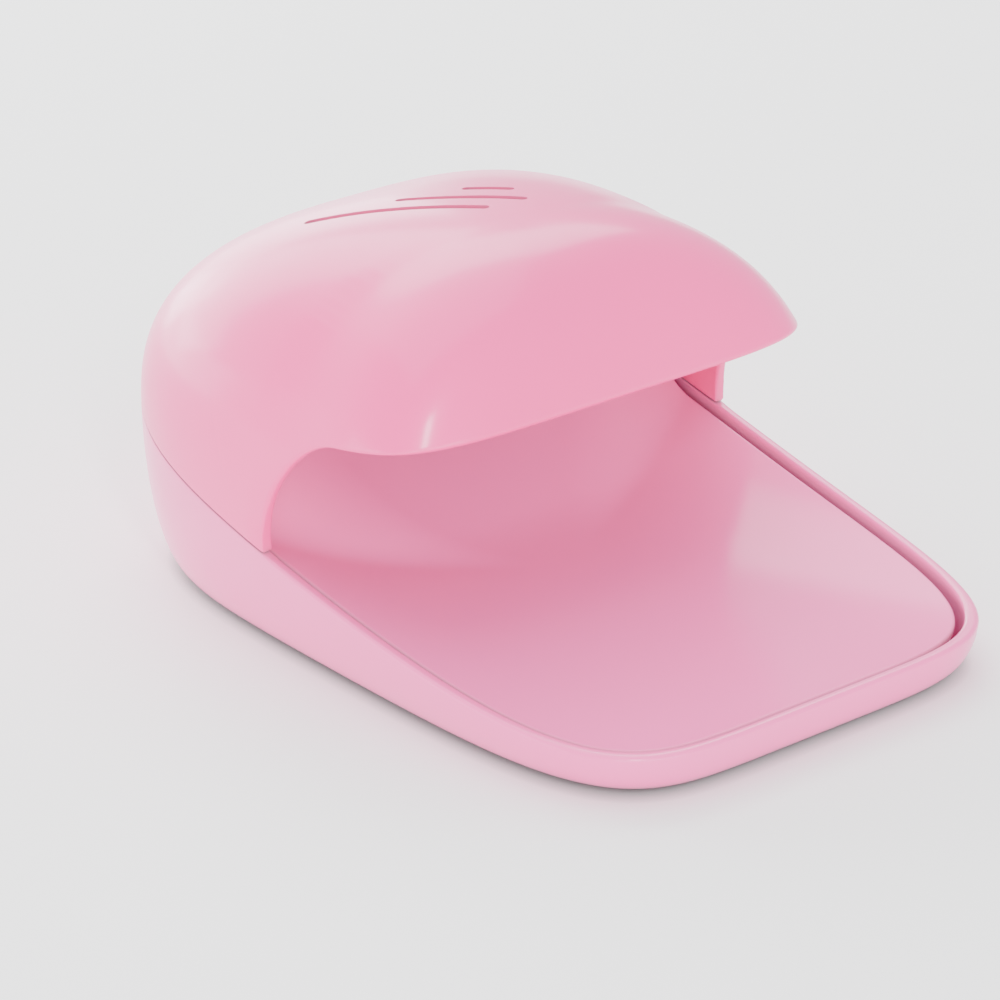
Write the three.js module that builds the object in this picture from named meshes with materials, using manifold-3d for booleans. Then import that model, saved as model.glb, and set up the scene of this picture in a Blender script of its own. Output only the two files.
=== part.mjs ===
// Nail polish fan dryer: a battery fan under a domed hood blows down on a press plate.
// Millimetres, +Z up, the open front faces -Y, and the origin lies under the casing's middle.
// Places along the casing run back from its front edge until the last group moves them.
// What lies under or in the hood is placed forward from the back edge, by a value that ends in FromBack.
import * as THREE from 'three';
import { mergeVertices } from 'three/addons/utils/BufferGeometryUtils.js';
import Module from 'manifold-3d';

const wasm = await Module();
wasm.setup();

// Casing outside
const width = 100;
const length = 139;
const height = 66;
const footRise = 1;
const wall = 2;
const floorThickness = 1.6;
const widestFromBack = 54;
const frontPower = 5.7;
const backPower = 3.15;
const frontTaperShare = 0.073;
const taperPower = 1.5;
const rimFront = 8.1;
const rimBack = 32.2;
const rimPower = 1.62;
const sideTuck = 4.6;
const frontTuck = 2.9;
const backTuck = 8.2;

// Clearances
const fitGap = 0.3;
const overrun = 6;

// Hood
const visorReach = 38.6;
const crownFromBack = 63.5;
const visorSeamPower = 7.4;
const visorCrownPower = 2.6;
const visorBlendPower = 1.7;
const sideRoundFront = 2.47;
const sideRoundBack = 1.91;
const crownRoundFront = 3.14;
const crownRoundBack = 2.41;
const postFromBack = 58;
const postTop = 20.5;
const lipDrop = 5;
const archReach = 14.5;
const archPower = 1.13;
const lipSlopeShare = 0.148;

// Air intake slots in the crown: the middle of the first slot, then steps to the next ones
const slotWidth = 1.8;
const slotTurn = 0.67;
const slotPitch = 5.6;
const slotMiddleX = -10.5;
const slotMiddleBehindCrown = 20.3;
const slotLengths = [31.5, 22.5, 9];
const slotLeads = [0, 9.7, 13];

// Press plate
const plateGap = 1.2;
const plateThickness = 1.5;
const plateRecess = 1;
const plateMiddleFromBack = 77;
const plateBackReach = 21;
const plateBackPower = 2.8;
const plateFrontClear = 2.3;
const plateSlopeShare = 0.035;
const plateCurvePower = 3;
const plateTopGap = 1;
const plateRiseAngle = 0.95;

// Plate hinge and its springs
const hingeFromBack = 49;
const hingeZ = 9;
const hingeInset = 21;
const pinRadius = 1;
const pinLength = 8.6;
const lugWidth = 3.4;
const lugRadius = 2.8;
const bracketThickness = 2;
const springInset = 16;
const springReach = 34;
const springTopDrop = 0.86;
const springRadius = 2.4;
const springWire = 0.6;
const springCurls = 2.5;
const springSeatHeight = 0.8;

// Switch under the plate
const switchReach = 16;
const switchLength = 10;
const switchDepth = 6;
const switchHeight = 3.2;
const earLength = 3.2;
const earThickness = 1.2;
const pegRadius = 0.9;
const plungerWidth = 3;
const plungerDepth = 2;
const plungerStroke = 0.6;
const tagLength = 2;
const tagWidth = 1.6;
const tagThickness = 0.4;

// Battery cells and their bay
const cellRadius = 7.25;
const cellBody = 49.5;
const nubRadius = 2.75;
const nubLength = 1;
const cellSpacing = 0.5;
const cellClear = 0.35;
const bayWall = 1.5;
const bayFromHinge = 3.4;
const contactThickness = 0.4;
const contactWidth = 10;
const contactSpringLength = 4.1;
const contactSpringWire = 0.6;
const contactSpringCurls = 2.5;
const contactSpringSmall = 2;
const contactSpringLarge = 3.6;
const solderTabHeight = 3;
const solderTabWidth = 3;

// Battery door
const doorGap = 0.3;
const doorTabX = 15;
const doorTabWidth = 6;
const doorTabReach = 1;
const doorTabThickness = 0.6;
const doorTabRise = 1;
const doorTongueWidth = 12;
const doorTongueReach = 2.2;
const doorRibHeight = 0.3;
const doorRibWidth = 1;
const doorRibPitch = 2.2;
const doorRibCount = 4;

// Screws
const casingScrewShank = 1.1;
const casingScrewHead = 2.1;
const casingScrewHeadHeight = 1.6;
const casingScrewLength = 14;
const casingScrewSeat = 4.6;
const casingBossRadius = 3;
const casingBossTop = 14;
const smallScrewShank = 1;
const smallScrewHead = 2;
const smallScrewHeadHeight = 1.2;
const smallBossRadius = 2.8;
const screwSegments = 10;
const screwHeadTopShare = 0.8;
const frontScrewInset = 9.2;
const frontScrewFromBack = 33.5;
const rearScrewFromBack = 18.5;

// Feet
const footRadius = 4;
const footSink = 0.5;
const frontFootInset = 20;
const frontFootFromFront = 22;
const rearFootFromBack = 26.2;

// Ceiling, duct and outlet grille
const fanFromBack = 59.7;
const ceilingThickness = 1.8;
const ductRadius = 23.5;
const ductWall = 1.5;
const ductHeight = 6;
const shroudScrewInset = 13;
const shroudScrewFromBack = 67;
const rearShroudScrewFromBack = 19;
const shroudScrewDepth = 5;
const wireHoleX = 9;
const wireHoleFromBack = 22;
const wireHoleRadius = 2;
const grilleFlange = 2;
const grilleThickness = 1.2;
const grilleCollarWall = 1.2;
const grilleCollarHeight = 1.6;
const grilleBar = 1.1;
const grilleRingCount = 4;
const grilleSpokeCount = 6;
const grilleHub = 4.5;

// Impeller
const bladeCount = 7;
const bladeTipGap = 0.9;
const bladeThickness = 1.1;
const bladeTwist = 0.45;
const bladeLean = 0.75;
const hubRadius = 5.5;
const hubHeight = 4.8;
const hubLift = 0.6;

// Motor and the cradle that carries it
const motorRadius = 12.2;
const motorHeight = 8;
const motorWall = 0.6;
const crownClear = 3.2;
const shaftRadius = 1;
const bearingRadius = 2.6;
const bearingReach = 1.4;
const bearingInside = 0.6;
const magnetThickness = 2.4;
const rotorGap = 0.5;
const endCapThickness = 1.7;
const terminalX = 5;
const cradleWall = 2;
const cradleHeight = 6;
const cradleLip = 2.6;
const cradleLipThickness = 0.8;
const cradleArmWidth = 5;
const cradleArmHeight = 2;
const cradlePostReach = 28.5;
const cradleScrewDepth = 4.5;
const cradleAngles = [Math.PI / 2, Math.PI * 7 / 6, Math.PI * 11 / 6];

// Wires
const wireRadius = 0.6;
const wireRunInset = 14.7;

// Fineness of the faceted solids
const outlineSteps = 48;
const wallSteps = 4;
const wallStepPower = 1.5;
const domeSteps = 10;
const plateSteps = 6;
const slopeStepShare = 0.001;
const archSteps = 10;
const seamSteps = 10;
const bayArcSteps = 6;
const bladeSteps = 4;
const roundSegments = 20;
const curlSteps = 8;
const curlSides = 5;
const wireSides = 8;
const longWireSteps = 48;
const switchWireSteps = 28;
const shortWireSteps = 24;

// Heights and places worked out from the sizes above
const undersideZ = footRise;
const floorZ = undersideZ + floorThickness;
const cavityHalf = width / 2 - wall;
const widestY = length - widestFromBack;
const crownY = length - crownFromBack;
const postY = length - postFromBack;
const plateMiddleY = length - plateMiddleFromBack;
const hingeY = length - hingeFromBack;
const springY = hingeY - springReach;
const hingeX = width / 2 - hingeInset;
const springX = width / 2 - springInset;
const switchY = hingeY - switchReach;
const fanY = length - fanFromBack;
const wireHoleY = length - wireHoleFromBack;
const bayFrontY = hingeY + bayFromHinge;
const cellFrontY = bayFrontY + bayWall + cellClear + cellRadius;
const cellRearY = cellFrontY + cellRadius * 2 + cellSpacing;
const cellZ = floorZ + fitGap + cellRadius;
const bayReach = cellRadius + cellClear;
const cellTotal = cellBody + nubLength;
const bayHalf = (cellTotal + contactSpringLength + fitGap * 5 + contactThickness * 2) / 2;
const motorTop = height - wall - crownClear;
const motorZ = motorTop - motorHeight;
const endCapZ = motorTop - endCapThickness;
const cradleZ = motorZ - fitGap - cradleLipThickness;
const ductTop = cradleZ - fitGap;
const ceilingTop = ductTop - ductHeight;
const ceilingZ = ceilingTop - ceilingThickness;
const lipHeight = ceilingZ - lipDrop;
const hubZ = ceilingTop + hubLift;
const hubTop = hubZ + hubHeight;

// Pairs stand on the left, -1, and on the right, 1
const sides = [-1, 1];
const screwPlaces = sides.flatMap((side) => [
  { x: side * (width / 2 - frontScrewInset), y: length - frontScrewFromBack },
  { x: side * (bayHalf + bayWall + casingBossRadius - fitGap), y: length - rearScrewFromBack },
]);
const shroudScrewPlaces = [
  { x: -(width / 2 - shroudScrewInset), y: length - shroudScrewFromBack },
  { x: width / 2 - shroudScrewInset, y: length - shroudScrewFromBack },
  { x: 0, y: length - rearShroudScrewFromBack },
];
const cradlePlaces = cradleAngles.map((angle) => ({
  x: Math.cos(angle) * cradlePostReach,
  y: fanY + Math.sin(angle) * cradlePostReach,
}));

// A closed solid from rings of points, each ring seen anticlockwise from the way the rings advance.
// A ring of one point is a pole; an open end ring is closed by a fan to its middle.
function solidOfRings(rings) {
  const positions = [];
  const index = [];
  const starts = [];
  for (const ring of rings) {
    starts.push(positions.length / 3);
    for (const point of ring) positions.push(point.x, point.y, point.z);
  }
  const addFan = (ring, start, upwards) => {
    if (ring.length === 1) return;
    const middle = new THREE.Vector3();
    for (const point of ring) middle.add(point);
    middle.divideScalar(ring.length);
    const hub = positions.length / 3;
    positions.push(middle.x, middle.y, middle.z);
    for (let i = 0; i < ring.length; i += 1) {
      const next = (i + 1) % ring.length;
      if (upwards) index.push(hub, start + i, start + next);
      else index.push(hub, start + next, start + i);
    }
  };
  for (let r = 0; r + 1 < rings.length; r += 1) {
    const count = Math.max(rings[r].length, rings[r + 1].length);
    const low = (i) => starts[r] + (rings[r].length === 1 ? 0 : i % count);
    const high = (i) => starts[r + 1] + (rings[r + 1].length === 1 ? 0 : i % count);
    for (let i = 0; i < count; i += 1) {
      if (rings[r].length > 1) index.push(low(i), low(i + 1), high(i + 1));
      if (rings[r + 1].length > 1) index.push(low(i), high(i + 1), high(i));
    }
  }
  addFan(rings[0], starts[0], false);
  addFan(rings[rings.length - 1], starts[rings.length - 1], true);
  const geometry = new THREE.BufferGeometry();
  geometry.setAttribute('position', new THREE.Float32BufferAttribute(positions, 3));
  geometry.setIndex(index);
  return geometry;
}

function toSolid(geometry) {
  const plain = geometry.clone();
  plain.deleteAttribute('normal');
  plain.deleteAttribute('uv');
  const merged = mergeVertices(plain);
  return new wasm.Manifold(new wasm.Mesh({
    numProp: 3,
    vertProperties: new Float32Array(merged.attributes.position.array),
    triVerts: new Uint32Array(merged.index.array),
  }));
}

function toGeometry(solid) {
  const mesh = solid.getMesh();
  const geometry = new THREE.BufferGeometry();
  geometry.setAttribute('position', new THREE.BufferAttribute(mesh.vertProperties, 3));
  geometry.setIndex(new THREE.BufferAttribute(mesh.triVerts, 1));
  geometry.computeVertexNormals();
  return geometry;
}

const joined = (first, others) => others.reduce((solid, other) => solid.add(other), first);
const cutBy = (first, others) => others.reduce((solid, other) => solid.subtract(other), first);

function block(x0, x1, y0, y1, z0, z1) {
  const geometry = new THREE.BoxGeometry(x1 - x0, y1 - y0, z1 - z0);
  geometry.translate((x0 + x1) / 2, (y0 + y1) / 2, (z0 + z1) / 2);
  return geometry;
}

function upright(radius, x, y, z0, z1, segments = roundSegments) {
  const geometry = new THREE.CylinderGeometry(radius, radius, z1 - z0, segments);
  geometry.rotateX(Math.PI / 2);
  geometry.translate(x, y, (z0 + z1) / 2);
  return geometry;
}

function lying(radius, x0, x1, y, z, segments = roundSegments) {
  const geometry = new THREE.CylinderGeometry(radius, radius, x1 - x0, segments);
  geometry.rotateZ(Math.PI / 2);
  geometry.translate((x0 + x1) / 2, y, z);
  return geometry;
}

// An outline in Y and Z, carried along X
function crosswise(points, x0, x1) {
  const shape = new THREE.Shape(points.map(([y, z]) => new THREE.Vector2(y, z)));
  const geometry = new THREE.ExtrudeGeometry(shape, { depth: x1 - x0, bevelEnabled: false });
  geometry.translate(0, 0, x0);
  geometry.applyMatrix4(new THREE.Matrix4().makeBasis(
    new THREE.Vector3(0, 1, 0),
    new THREE.Vector3(0, 0, 1),
    new THREE.Vector3(1, 0, 0),
  ));
  return geometry;
}

// A turned solid about an upright axis: [radius, height] pairs from the axis out and back to it
function turned(profile, x, y, segments = roundSegments) {
  const points = profile.map(([radius, z]) => new THREE.Vector2(radius, z));
  const geometry = new THREE.LatheGeometry(points, segments);
  geometry.rotateX(Math.PI / 2);
  geometry.translate(x, y, 0);
  return geometry;
}

const signedPower = (value, power) => Math.sign(value) * Math.abs(value) ** power;
const smooth = (value) => value * value * (3 - 2 * value);
const mix = (from, to, share) => from + (to - from) * share;

// A rounded plan: a superellipse whose front and back halves have their own reach and power
function planPoint(angle, plan) {
  const forward = Math.cos(angle);
  const sideways = Math.sin(angle);
  if (forward >= 0) {
    const along = forward ** (2 / plan.frontPower);
    const narrowing = 1 - (plan.taperShare ?? 0) * along ** taperPower;
    return {
      x: signedPower(sideways, 2 / plan.frontPower) * narrowing * plan.half,
      y: widestY - plan.frontReach * along,
    };
  }
  const along = (-forward) ** (2 / plan.backPower);
  return {
    x: signedPower(sideways, 2 / plan.backPower) * plan.half,
    y: widestY + plan.backReach * along,
  };
}

const rimPlan = (inset) => ({
  half: width / 2 - inset,
  frontReach: widestY - inset,
  backReach: length - widestY - inset,
  frontPower,
  backPower,
  taperShare: frontTaperShare,
});

const footprintPlan = (inset) => ({
  ...rimPlan(inset),
  half: width / 2 - sideTuck - inset,
  frontReach: widestY - frontTuck - inset,
  backReach: length - widestY - backTuck - inset,
});

const rimHeight = (y) => rimFront + (rimBack - rimFront) * (Math.max(y, 0) / length) ** rimPower;

function ringOf(pointAt, steps = outlineSteps) {
  return Array.from({ length: steps }, (_, i) => pointAt(i * Math.PI * 2 / steps));
}

// The tray's wall: a quarter ellipse that rises from its footprint to the rim, set in by inset.
// The share runs from the height lowZ, 0, up to the rim, 1.
function trayPoint(angle, share, inset, lowZ) {
  const rim = planPoint(angle, rimPlan(inset));
  const foot = planPoint(angle, footprintPlan(inset));
  const top = rimHeight(rim.y);
  const rise = mix((lowZ - undersideZ) / (top - undersideZ), 1, share ** wallStepPower);
  const tuck = 1 - Math.sqrt(1 - (1 - rise) ** 2);
  return new THREE.Vector3(mix(rim.x, foot.x, tuck), mix(rim.y, foot.y, tuck), mix(undersideZ, top, rise));
}

function trayOutside() {
  const rings = [];
  for (let i = 0; i <= wallSteps; i += 1) {
    rings.push(ringOf((angle) => trayPoint(angle, i / wallSteps, 0, undersideZ)));
  }
  rings.push(ringOf((angle) => {
    const point = planPoint(angle, rimPlan(wall + fitGap));
    return new THREE.Vector3(point.x, point.y, rimHeight(point.y));
  }));
  return toSolid(solidOfRings(rings));
}

function trayInside() {
  const rings = [];
  for (let i = 0; i <= wallSteps; i += 1) {
    rings.push(ringOf((angle) => trayPoint(angle, i / wallSteps, wall, floorZ)));
  }
  rings.push(ringOf((angle) => {
    const point = planPoint(angle, rimPlan(wall));
    return new THREE.Vector3(point.x, point.y, rimHeight(point.y) + overrun);
  }));
  return toSolid(solidOfRings(rings));
}

// The battery bay's cross-section: straight sides with a round shoulder over each cell
function bayOutline(grow, lowZ) {
  const points = [[cellRearY + bayReach + grow, lowZ], [cellFrontY - bayReach - grow, lowZ]];
  for (let i = 0; i <= bayArcSteps; i += 1) {
    const angle = Math.PI - (Math.PI / 2) * (i / bayArcSteps);
    points.push([
      cellFrontY + Math.cos(angle) * (bayReach + grow),
      cellZ + Math.sin(angle) * (bayReach + grow),
    ]);
  }
  for (let i = 0; i <= bayArcSteps; i += 1) {
    const angle = (Math.PI / 2) * (1 - i / bayArcSteps);
    points.push([
      cellRearY + Math.cos(angle) * (bayReach + grow),
      cellZ + Math.sin(angle) * (bayReach + grow),
    ]);
  }
  return points;
}

const lugStart = (side) => side * hingeX - lugWidth / 2;

function hingeBracket(x0) {
  const half = lugRadius + fitGap;
  return toSolid(block(
    x0, x0 + bracketThickness, hingeY - half, bayFrontY + fitGap, floorZ - fitGap, hingeZ + half,
  ));
}

// The rear feet stand midway between the bay and the side of the footprint
const frontFootX = width / 2 - frontFootInset;
const rearFootX = (bayHalf + width / 2 - sideTuck) / 2;
const footPlaces = [
  { x: -frontFootX, y: frontFootFromFront },
  { x: frontFootX, y: frontFootFromFront },
  { x: -rearFootX, y: length - rearFootFromBack },
  { x: rearFootX, y: length - rearFootFromBack },
];

const doorFrontY = cellFrontY - bayReach;
const doorBackY = cellRearY + bayReach;

function solderSlot(y) {
  const half = solderTabWidth / 2 + fitGap;
  return toSolid(block(
    -bayHalf, -bayHalf + contactThickness + fitGap * 2, y - half, y + half, cellZ, cellZ + cellRadius * 2,
  ));
}

function makeLowerCasing() {
  const bayOutside = bayHalf + bayWall;
  const added = [toSolid(crosswise(bayOutline(bayWall, floorZ - fitGap), -bayOutside, bayOutside))];
  for (const place of screwPlaces) {
    added.push(toSolid(upright(casingBossRadius, place.x, place.y, floorZ - fitGap, casingBossTop)));
  }
  for (const side of sides) {
    added.push(hingeBracket(lugStart(side) - fitGap - bracketThickness));
    added.push(hingeBracket(lugStart(side) + lugWidth + fitGap));
    const peg = side * (switchLength + earLength) / 2;
    added.push(toSolid(upright(
      pegRadius, peg, switchY, floorZ - fitGap, floorZ + fitGap * 2 + earThickness, screwSegments,
    )));
    added.push(cutBy(
      toSolid(upright(
        springRadius + springWire * 2, side * springX, springY, floorZ - fitGap, floorZ + springSeatHeight,
      )),
      [toSolid(upright(
        springRadius + springWire / 2 + fitGap, side * springX, springY, floorZ, floorZ + overrun,
      ))],
    ));
  }
  const cuts = [
    toSolid(crosswise(bayOutline(0, undersideZ - overrun), -bayHalf, bayHalf)),
    toSolid(block(
      -doorTongueWidth / 2 - doorGap, doorTongueWidth / 2 + doorGap,
      doorBackY - overrun, doorBackY + doorTongueReach + doorGap, undersideZ - overrun, floorZ - fitGap,
    )),
    solderSlot(cellFrontY),
    solderSlot(cellRearY),
  ];
  for (const side of sides) {
    cuts.push(toSolid(block(
      side * doorTabX - doorTabWidth / 2 - doorGap, side * doorTabX + doorTabWidth / 2 + doorGap,
      doorFrontY - doorTabReach - doorGap, doorFrontY + overrun,
      undersideZ + doorTabRise - doorGap, floorZ + doorTabReach,
    )));
    cuts.push(toSolid(lying(
      pinRadius + fitGap,
      side * hingeX - pinLength, side * hingeX + pinLength, hingeY, hingeZ, screwSegments,
    )));
  }
  for (const place of screwPlaces) {
    cuts.push(toSolid(upright(
      casingScrewHead + fitGap, place.x, place.y, undersideZ - overrun, casingScrewSeat, roundSegments / 2,
    )));
    cuts.push(toSolid(upright(
      casingScrewShank + fitGap, place.x, place.y, undersideZ, casingBossTop + overrun, screwSegments,
    )));
  }
  for (const place of footPlaces) {
    cuts.push(toSolid(upright(
      footRadius + fitGap, place.x, place.y, undersideZ - overrun, undersideZ + footSink + fitGap,
      roundSegments / 2,
    )));
  }
  const shell = trayOutside().subtract(trayInside());
  return toGeometry(cutBy(joined(shell, added), cuts));
}

// The hood: rings that rise from the seam and draw in towards the crown
function hoodPoint(angle, rise, inset) {
  const turnedFront = smooth((1 + Math.cos(angle)) / 2);
  const power = visorCrownPower + (visorSeamPower - visorCrownPower) * (1 - rise) ** visorBlendPower;
  const plan = {
    half: width / 2 - inset,
    frontReach: visorReach - inset,
    backReach: length - widestY - inset,
    frontPower: power,
    backPower,
  };
  const outer = planPoint(angle, plan);
  const seam = planPoint(angle, { ...plan, frontPower: visorSeamPower });
  const climb = rise * Math.PI / 2;
  const drawn = Math.max(Math.cos(climb), 0) ** (2 / mix(sideRoundBack, sideRoundFront, turnedFront));
  const lift = Math.sin(climb) ** (2 / mix(crownRoundBack, crownRoundFront, turnedFront));
  const seamZ = rimHeight(seam.y);
  return new THREE.Vector3(
    outer.x * drawn,
    crownY + (outer.y - crownY) * drawn,
    seamZ + (height - inset - seamZ) * lift,
  );
}

function hoodSolid(inset) {
  const rings = [];
  for (let i = 0; i < domeSteps; i += 1) {
    rings.push(ringOf((angle) => hoodPoint(angle, i / domeSteps, inset)));
  }
  rings.push([new THREE.Vector3(0, crownY, height - inset)]);
  return toSolid(solidOfRings(rings));
}

// Height of the mouth's upper edge: up the post, round the arch, then along to the lip
function mouthHeight(y) {
  const reach = Math.min(Math.max((postY - y) / archReach, 0), 1);
  const arch = Math.sqrt(1 - (1 - reach) ** 2);
  return postTop + (lipHeight - postTop) * arch ** archPower + lipSlopeShare * Math.max(postY - y, 0);
}

// What the mouth and the seam take away from the hood, seen from the side
function belowHoodOutline() {
  const points = [[length + overrun, -overrun], [-overrun, -overrun], [-overrun, mouthHeight(-overrun)]];
  for (let i = 0; i <= archSteps; i += 1) {
    const turn = (Math.PI / 2) * (i / archSteps);
    const y = postY - archReach * (1 - Math.sin(turn));
    points.push([y, mouthHeight(y)]);
  }
  for (let i = 0; i <= seamSteps; i += 1) {
    const y = mix(postY, length + overrun, i / seamSteps);
    points.push([y, rimHeight(y) + fitGap]);
  }
  return points;
}

function intakeSlots() {
  return slotLengths.map((slotLength, i) => {
    const geometry = new THREE.BoxGeometry(slotWidth, slotLength, overrun * 3);
    geometry.translate(slotPitch * i, -slotLeads[i], 0);
    geometry.rotateZ(slotTurn);
    geometry.translate(slotMiddleX, crownY + slotMiddleBehindCrown, height);
    return toSolid(geometry);
  });
}

function makeUpperCasing() {
  const middle = hoodSolid(wall / 2);
  const shell = hoodSolid(0).subtract(hoodSolid(wall));
  const bosses = [];
  const cuts = intakeSlots();
  for (const place of screwPlaces) {
    bosses.push(toSolid(upright(casingBossRadius, place.x, place.y, casingBossTop + fitGap, height)));
    cuts.push(toSolid(upright(
      casingScrewShank + fitGap, place.x, place.y,
      0, casingScrewSeat + casingScrewLength + fitGap * 2, screwSegments,
    )));
  }
  const shroudBossZ = ceilingTop + fitGap;
  for (const place of shroudScrewPlaces) {
    bosses.push(toSolid(upright(smallBossRadius, place.x, place.y, shroudBossZ, height)));
    cuts.push(toSolid(upright(
      smallScrewShank + fitGap, place.x, place.y, 0, shroudBossZ + shroudScrewDepth, screwSegments,
    )));
  }
  const trimmed = shell.subtract(toSolid(crosswise(belowHoodOutline(), -width, width)));
  return toGeometry(cutBy(joined(trimmed, bosses.map((boss) => boss.intersect(middle))), cuts));
}

// The press plate: a shallow scoop whose sides meet the rim and whose back rises under the hood
const plateFloor = floorZ + plateFrontClear + plateThickness;
const plateTop = ceilingZ - plateTopGap;
const plateBase = (y) => plateFloor + plateSlopeShare * y;

const platePlan = {
  half: cavityHalf - plateGap,
  frontReach: widestY - wall - plateGap,
  backReach: plateBackReach,
  frontPower,
  backPower: plateBackPower,
  taperShare: frontTaperShare,
};

function plateEdge(angle) {
  const edge = planPoint(angle, platePlan);
  const behind = Math.max(-Math.cos(angle), 0);
  const risen = smooth(Math.min(Math.asin(behind) / plateRiseAngle, 1));
  return new THREE.Vector3(edge.x, edge.y, mix(rimHeight(edge.y) - plateRecess, plateTop, risen));
}

function platePoint(angle, share) {
  const edge = plateEdge(angle);
  const y = mix(plateMiddleY, edge.y, share);
  return new THREE.Vector3(
    edge.x * share,
    y,
    plateBase(y) + (edge.z - plateBase(edge.y)) * share ** plateCurvePower,
  );
}

// The same point, set down from the upper face along the face's own normal
function plateUnder(angle, share, depth) {
  const inner = Math.max(share, slopeStepShare * 2);
  const along = platePoint(angle, inner + slopeStepShare).sub(platePoint(angle, inner - slopeStepShare));
  const round = platePoint(angle + slopeStepShare, inner).sub(platePoint(angle - slopeStepShare, inner));
  const normal = along.cross(round).normalize();
  return platePoint(angle, share).addScaledVector(normal, -depth);
}

function plateShare(i) {
  return Math.sin((Math.PI / 2) * (i / plateSteps));
}

function plateShell() {
  const middle = platePoint(0, 0);
  const rings = [[new THREE.Vector3(0, plateMiddleY, middle.z - plateThickness)]];
  for (let i = 1; i <= plateSteps; i += 1) {
    rings.push(ringOf((angle) => plateUnder(angle, plateShare(i), plateThickness)));
  }
  for (let i = plateSteps; i >= 1; i -= 1) {
    rings.push(ringOf((angle) => platePoint(angle, plateShare(i))));
  }
  rings.push([middle]);
  return toSolid(solidOfRings(rings));
}

// Everything under the middle of the plate's thickness, to trim what hangs from the plate
function belowPlate() {
  const rings = [ringOf((angle) => {
    const edge = plateEdge(angle);
    return new THREE.Vector3(edge.x, edge.y, -overrun);
  })];
  for (let i = plateSteps; i >= 1; i -= 1) {
    rings.push(ringOf((angle) => plateUnder(angle, plateShare(i), plateThickness / 2)));
  }
  rings.push([new THREE.Vector3(0, plateMiddleY, platePoint(0, 0).z - plateThickness / 2)]);
  return toSolid(solidOfRings(rings));
}

// Height of the plate's upper face on its centre line behind the plate's middle
function plateHeightBehind(y) {
  const share = (y - plateMiddleY) / (platePoint(Math.PI, 1).y - plateMiddleY);
  return platePoint(Math.PI, share).z;
}

const springZ = floorZ + fitGap;
const springTop = plateBase(springY) - springTopDrop;
const pressHeight = plateHeightBehind(switchY) - plateThickness * 2;

function makePressPlate() {
  const hanging = [];
  for (const side of sides) {
    const x = lugStart(side);
    hanging.push(toSolid(lying(lugRadius, x, x + lugWidth, hingeY, hingeZ)));
    hanging.push(toSolid(block(x, x + lugWidth, hingeY - lugRadius, hingeY + lugRadius, hingeZ, plateTop)));
    hanging.push(toSolid(upright(
      springRadius + springWire, side * springX, springY, springTop + fitGap, plateTop,
    )));
  }
  hanging.push(toSolid(upright(plungerWidth / 2, 0, switchY, pressHeight, plateTop, screwSegments)));
  const trimmed = joined(hanging[0], hanging.slice(1)).intersect(belowPlate());
  const holes = sides.map((side) => toSolid(lying(
    pinRadius + fitGap, side * hingeX - lugWidth, side * hingeX + lugWidth, hingeY, hingeZ, screwSegments,
  )));
  return toGeometry(cutBy(plateShell().add(trimmed), holes));
}

function makeHingePin(side) {
  const x = side * hingeX;
  return lying(pinRadius, x - pinLength / 2, x + pinLength / 2, hingeY, hingeZ, screwSegments);
}

// A wire wound about Z from one radius to another, with a short straight end at each side
function coilPath(curls, firstRadius, lastRadius, coilHeight, wire) {
  const turns = Math.round(curls * curlSteps);
  const straight = wire;
  const path = [new THREE.Vector3(firstRadius, 0, 0)];
  for (let i = 0; i <= turns; i += 1) {
    const share = i / turns;
    const angle = share * curls * Math.PI * 2;
    const radius = mix(firstRadius, lastRadius, share);
    path.push(new THREE.Vector3(
      Math.cos(angle) * radius,
      Math.sin(angle) * radius,
      mix(straight, coilHeight - straight, share),
    ));
  }
  const last = path[path.length - 1];
  path.push(new THREE.Vector3(last.x, last.y, coilHeight));
  return path;
}

// The least gap between turns, measured on points at least half a turn apart
function leastGap(path, wire) {
  let least = Infinity;
  for (let i = 1; i + 1 < path.length; i += 1) {
    for (let j = i + curlSteps / 2; j + 1 < path.length; j += 1) {
      least = Math.min(least, path[i].distanceTo(path[j]) - wire);
    }
  }
  return least;
}

function coil(label, curls, firstRadius, lastRadius, coilHeight, wire) {
  const path = coilPath(curls, firstRadius, lastRadius, coilHeight, wire);
  console.log(`${label}: least gap to itself ${leastGap(path, wire).toFixed(2)} mm`);
  const rings = path.map((point, i) => {
    const before = path[Math.max(i - 1, 0)];
    const after = path[Math.min(i + 1, path.length - 1)];
    const tangent = after.clone().sub(before).normalize();
    const outward = new THREE.Vector3(point.x, point.y, 0).normalize();
    outward.addScaledVector(tangent, -outward.dot(tangent)).normalize();
    const across = tangent.clone().cross(outward);
    return Array.from({ length: curlSides }, (_, k) => {
      const angle = k * Math.PI * 2 / curlSides;
      return point.clone()
        .addScaledVector(outward, Math.cos(angle) * wire / 2)
        .addScaledVector(across, Math.sin(angle) * wire / 2);
    });
  });
  return solidOfRings(rings);
}

function makePlateSpring(side) {
  const label = side < 0 ? 'left plate spring' : 'right plate spring';
  const geometry = coil(label, springCurls, springRadius, springRadius, springTop - springZ, springWire);
  geometry.translate(side * springX, springY, springZ);
  return geometry;
}

const switchZ = floorZ + fitGap;
const plungerTop = pressHeight - fitGap;

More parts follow.
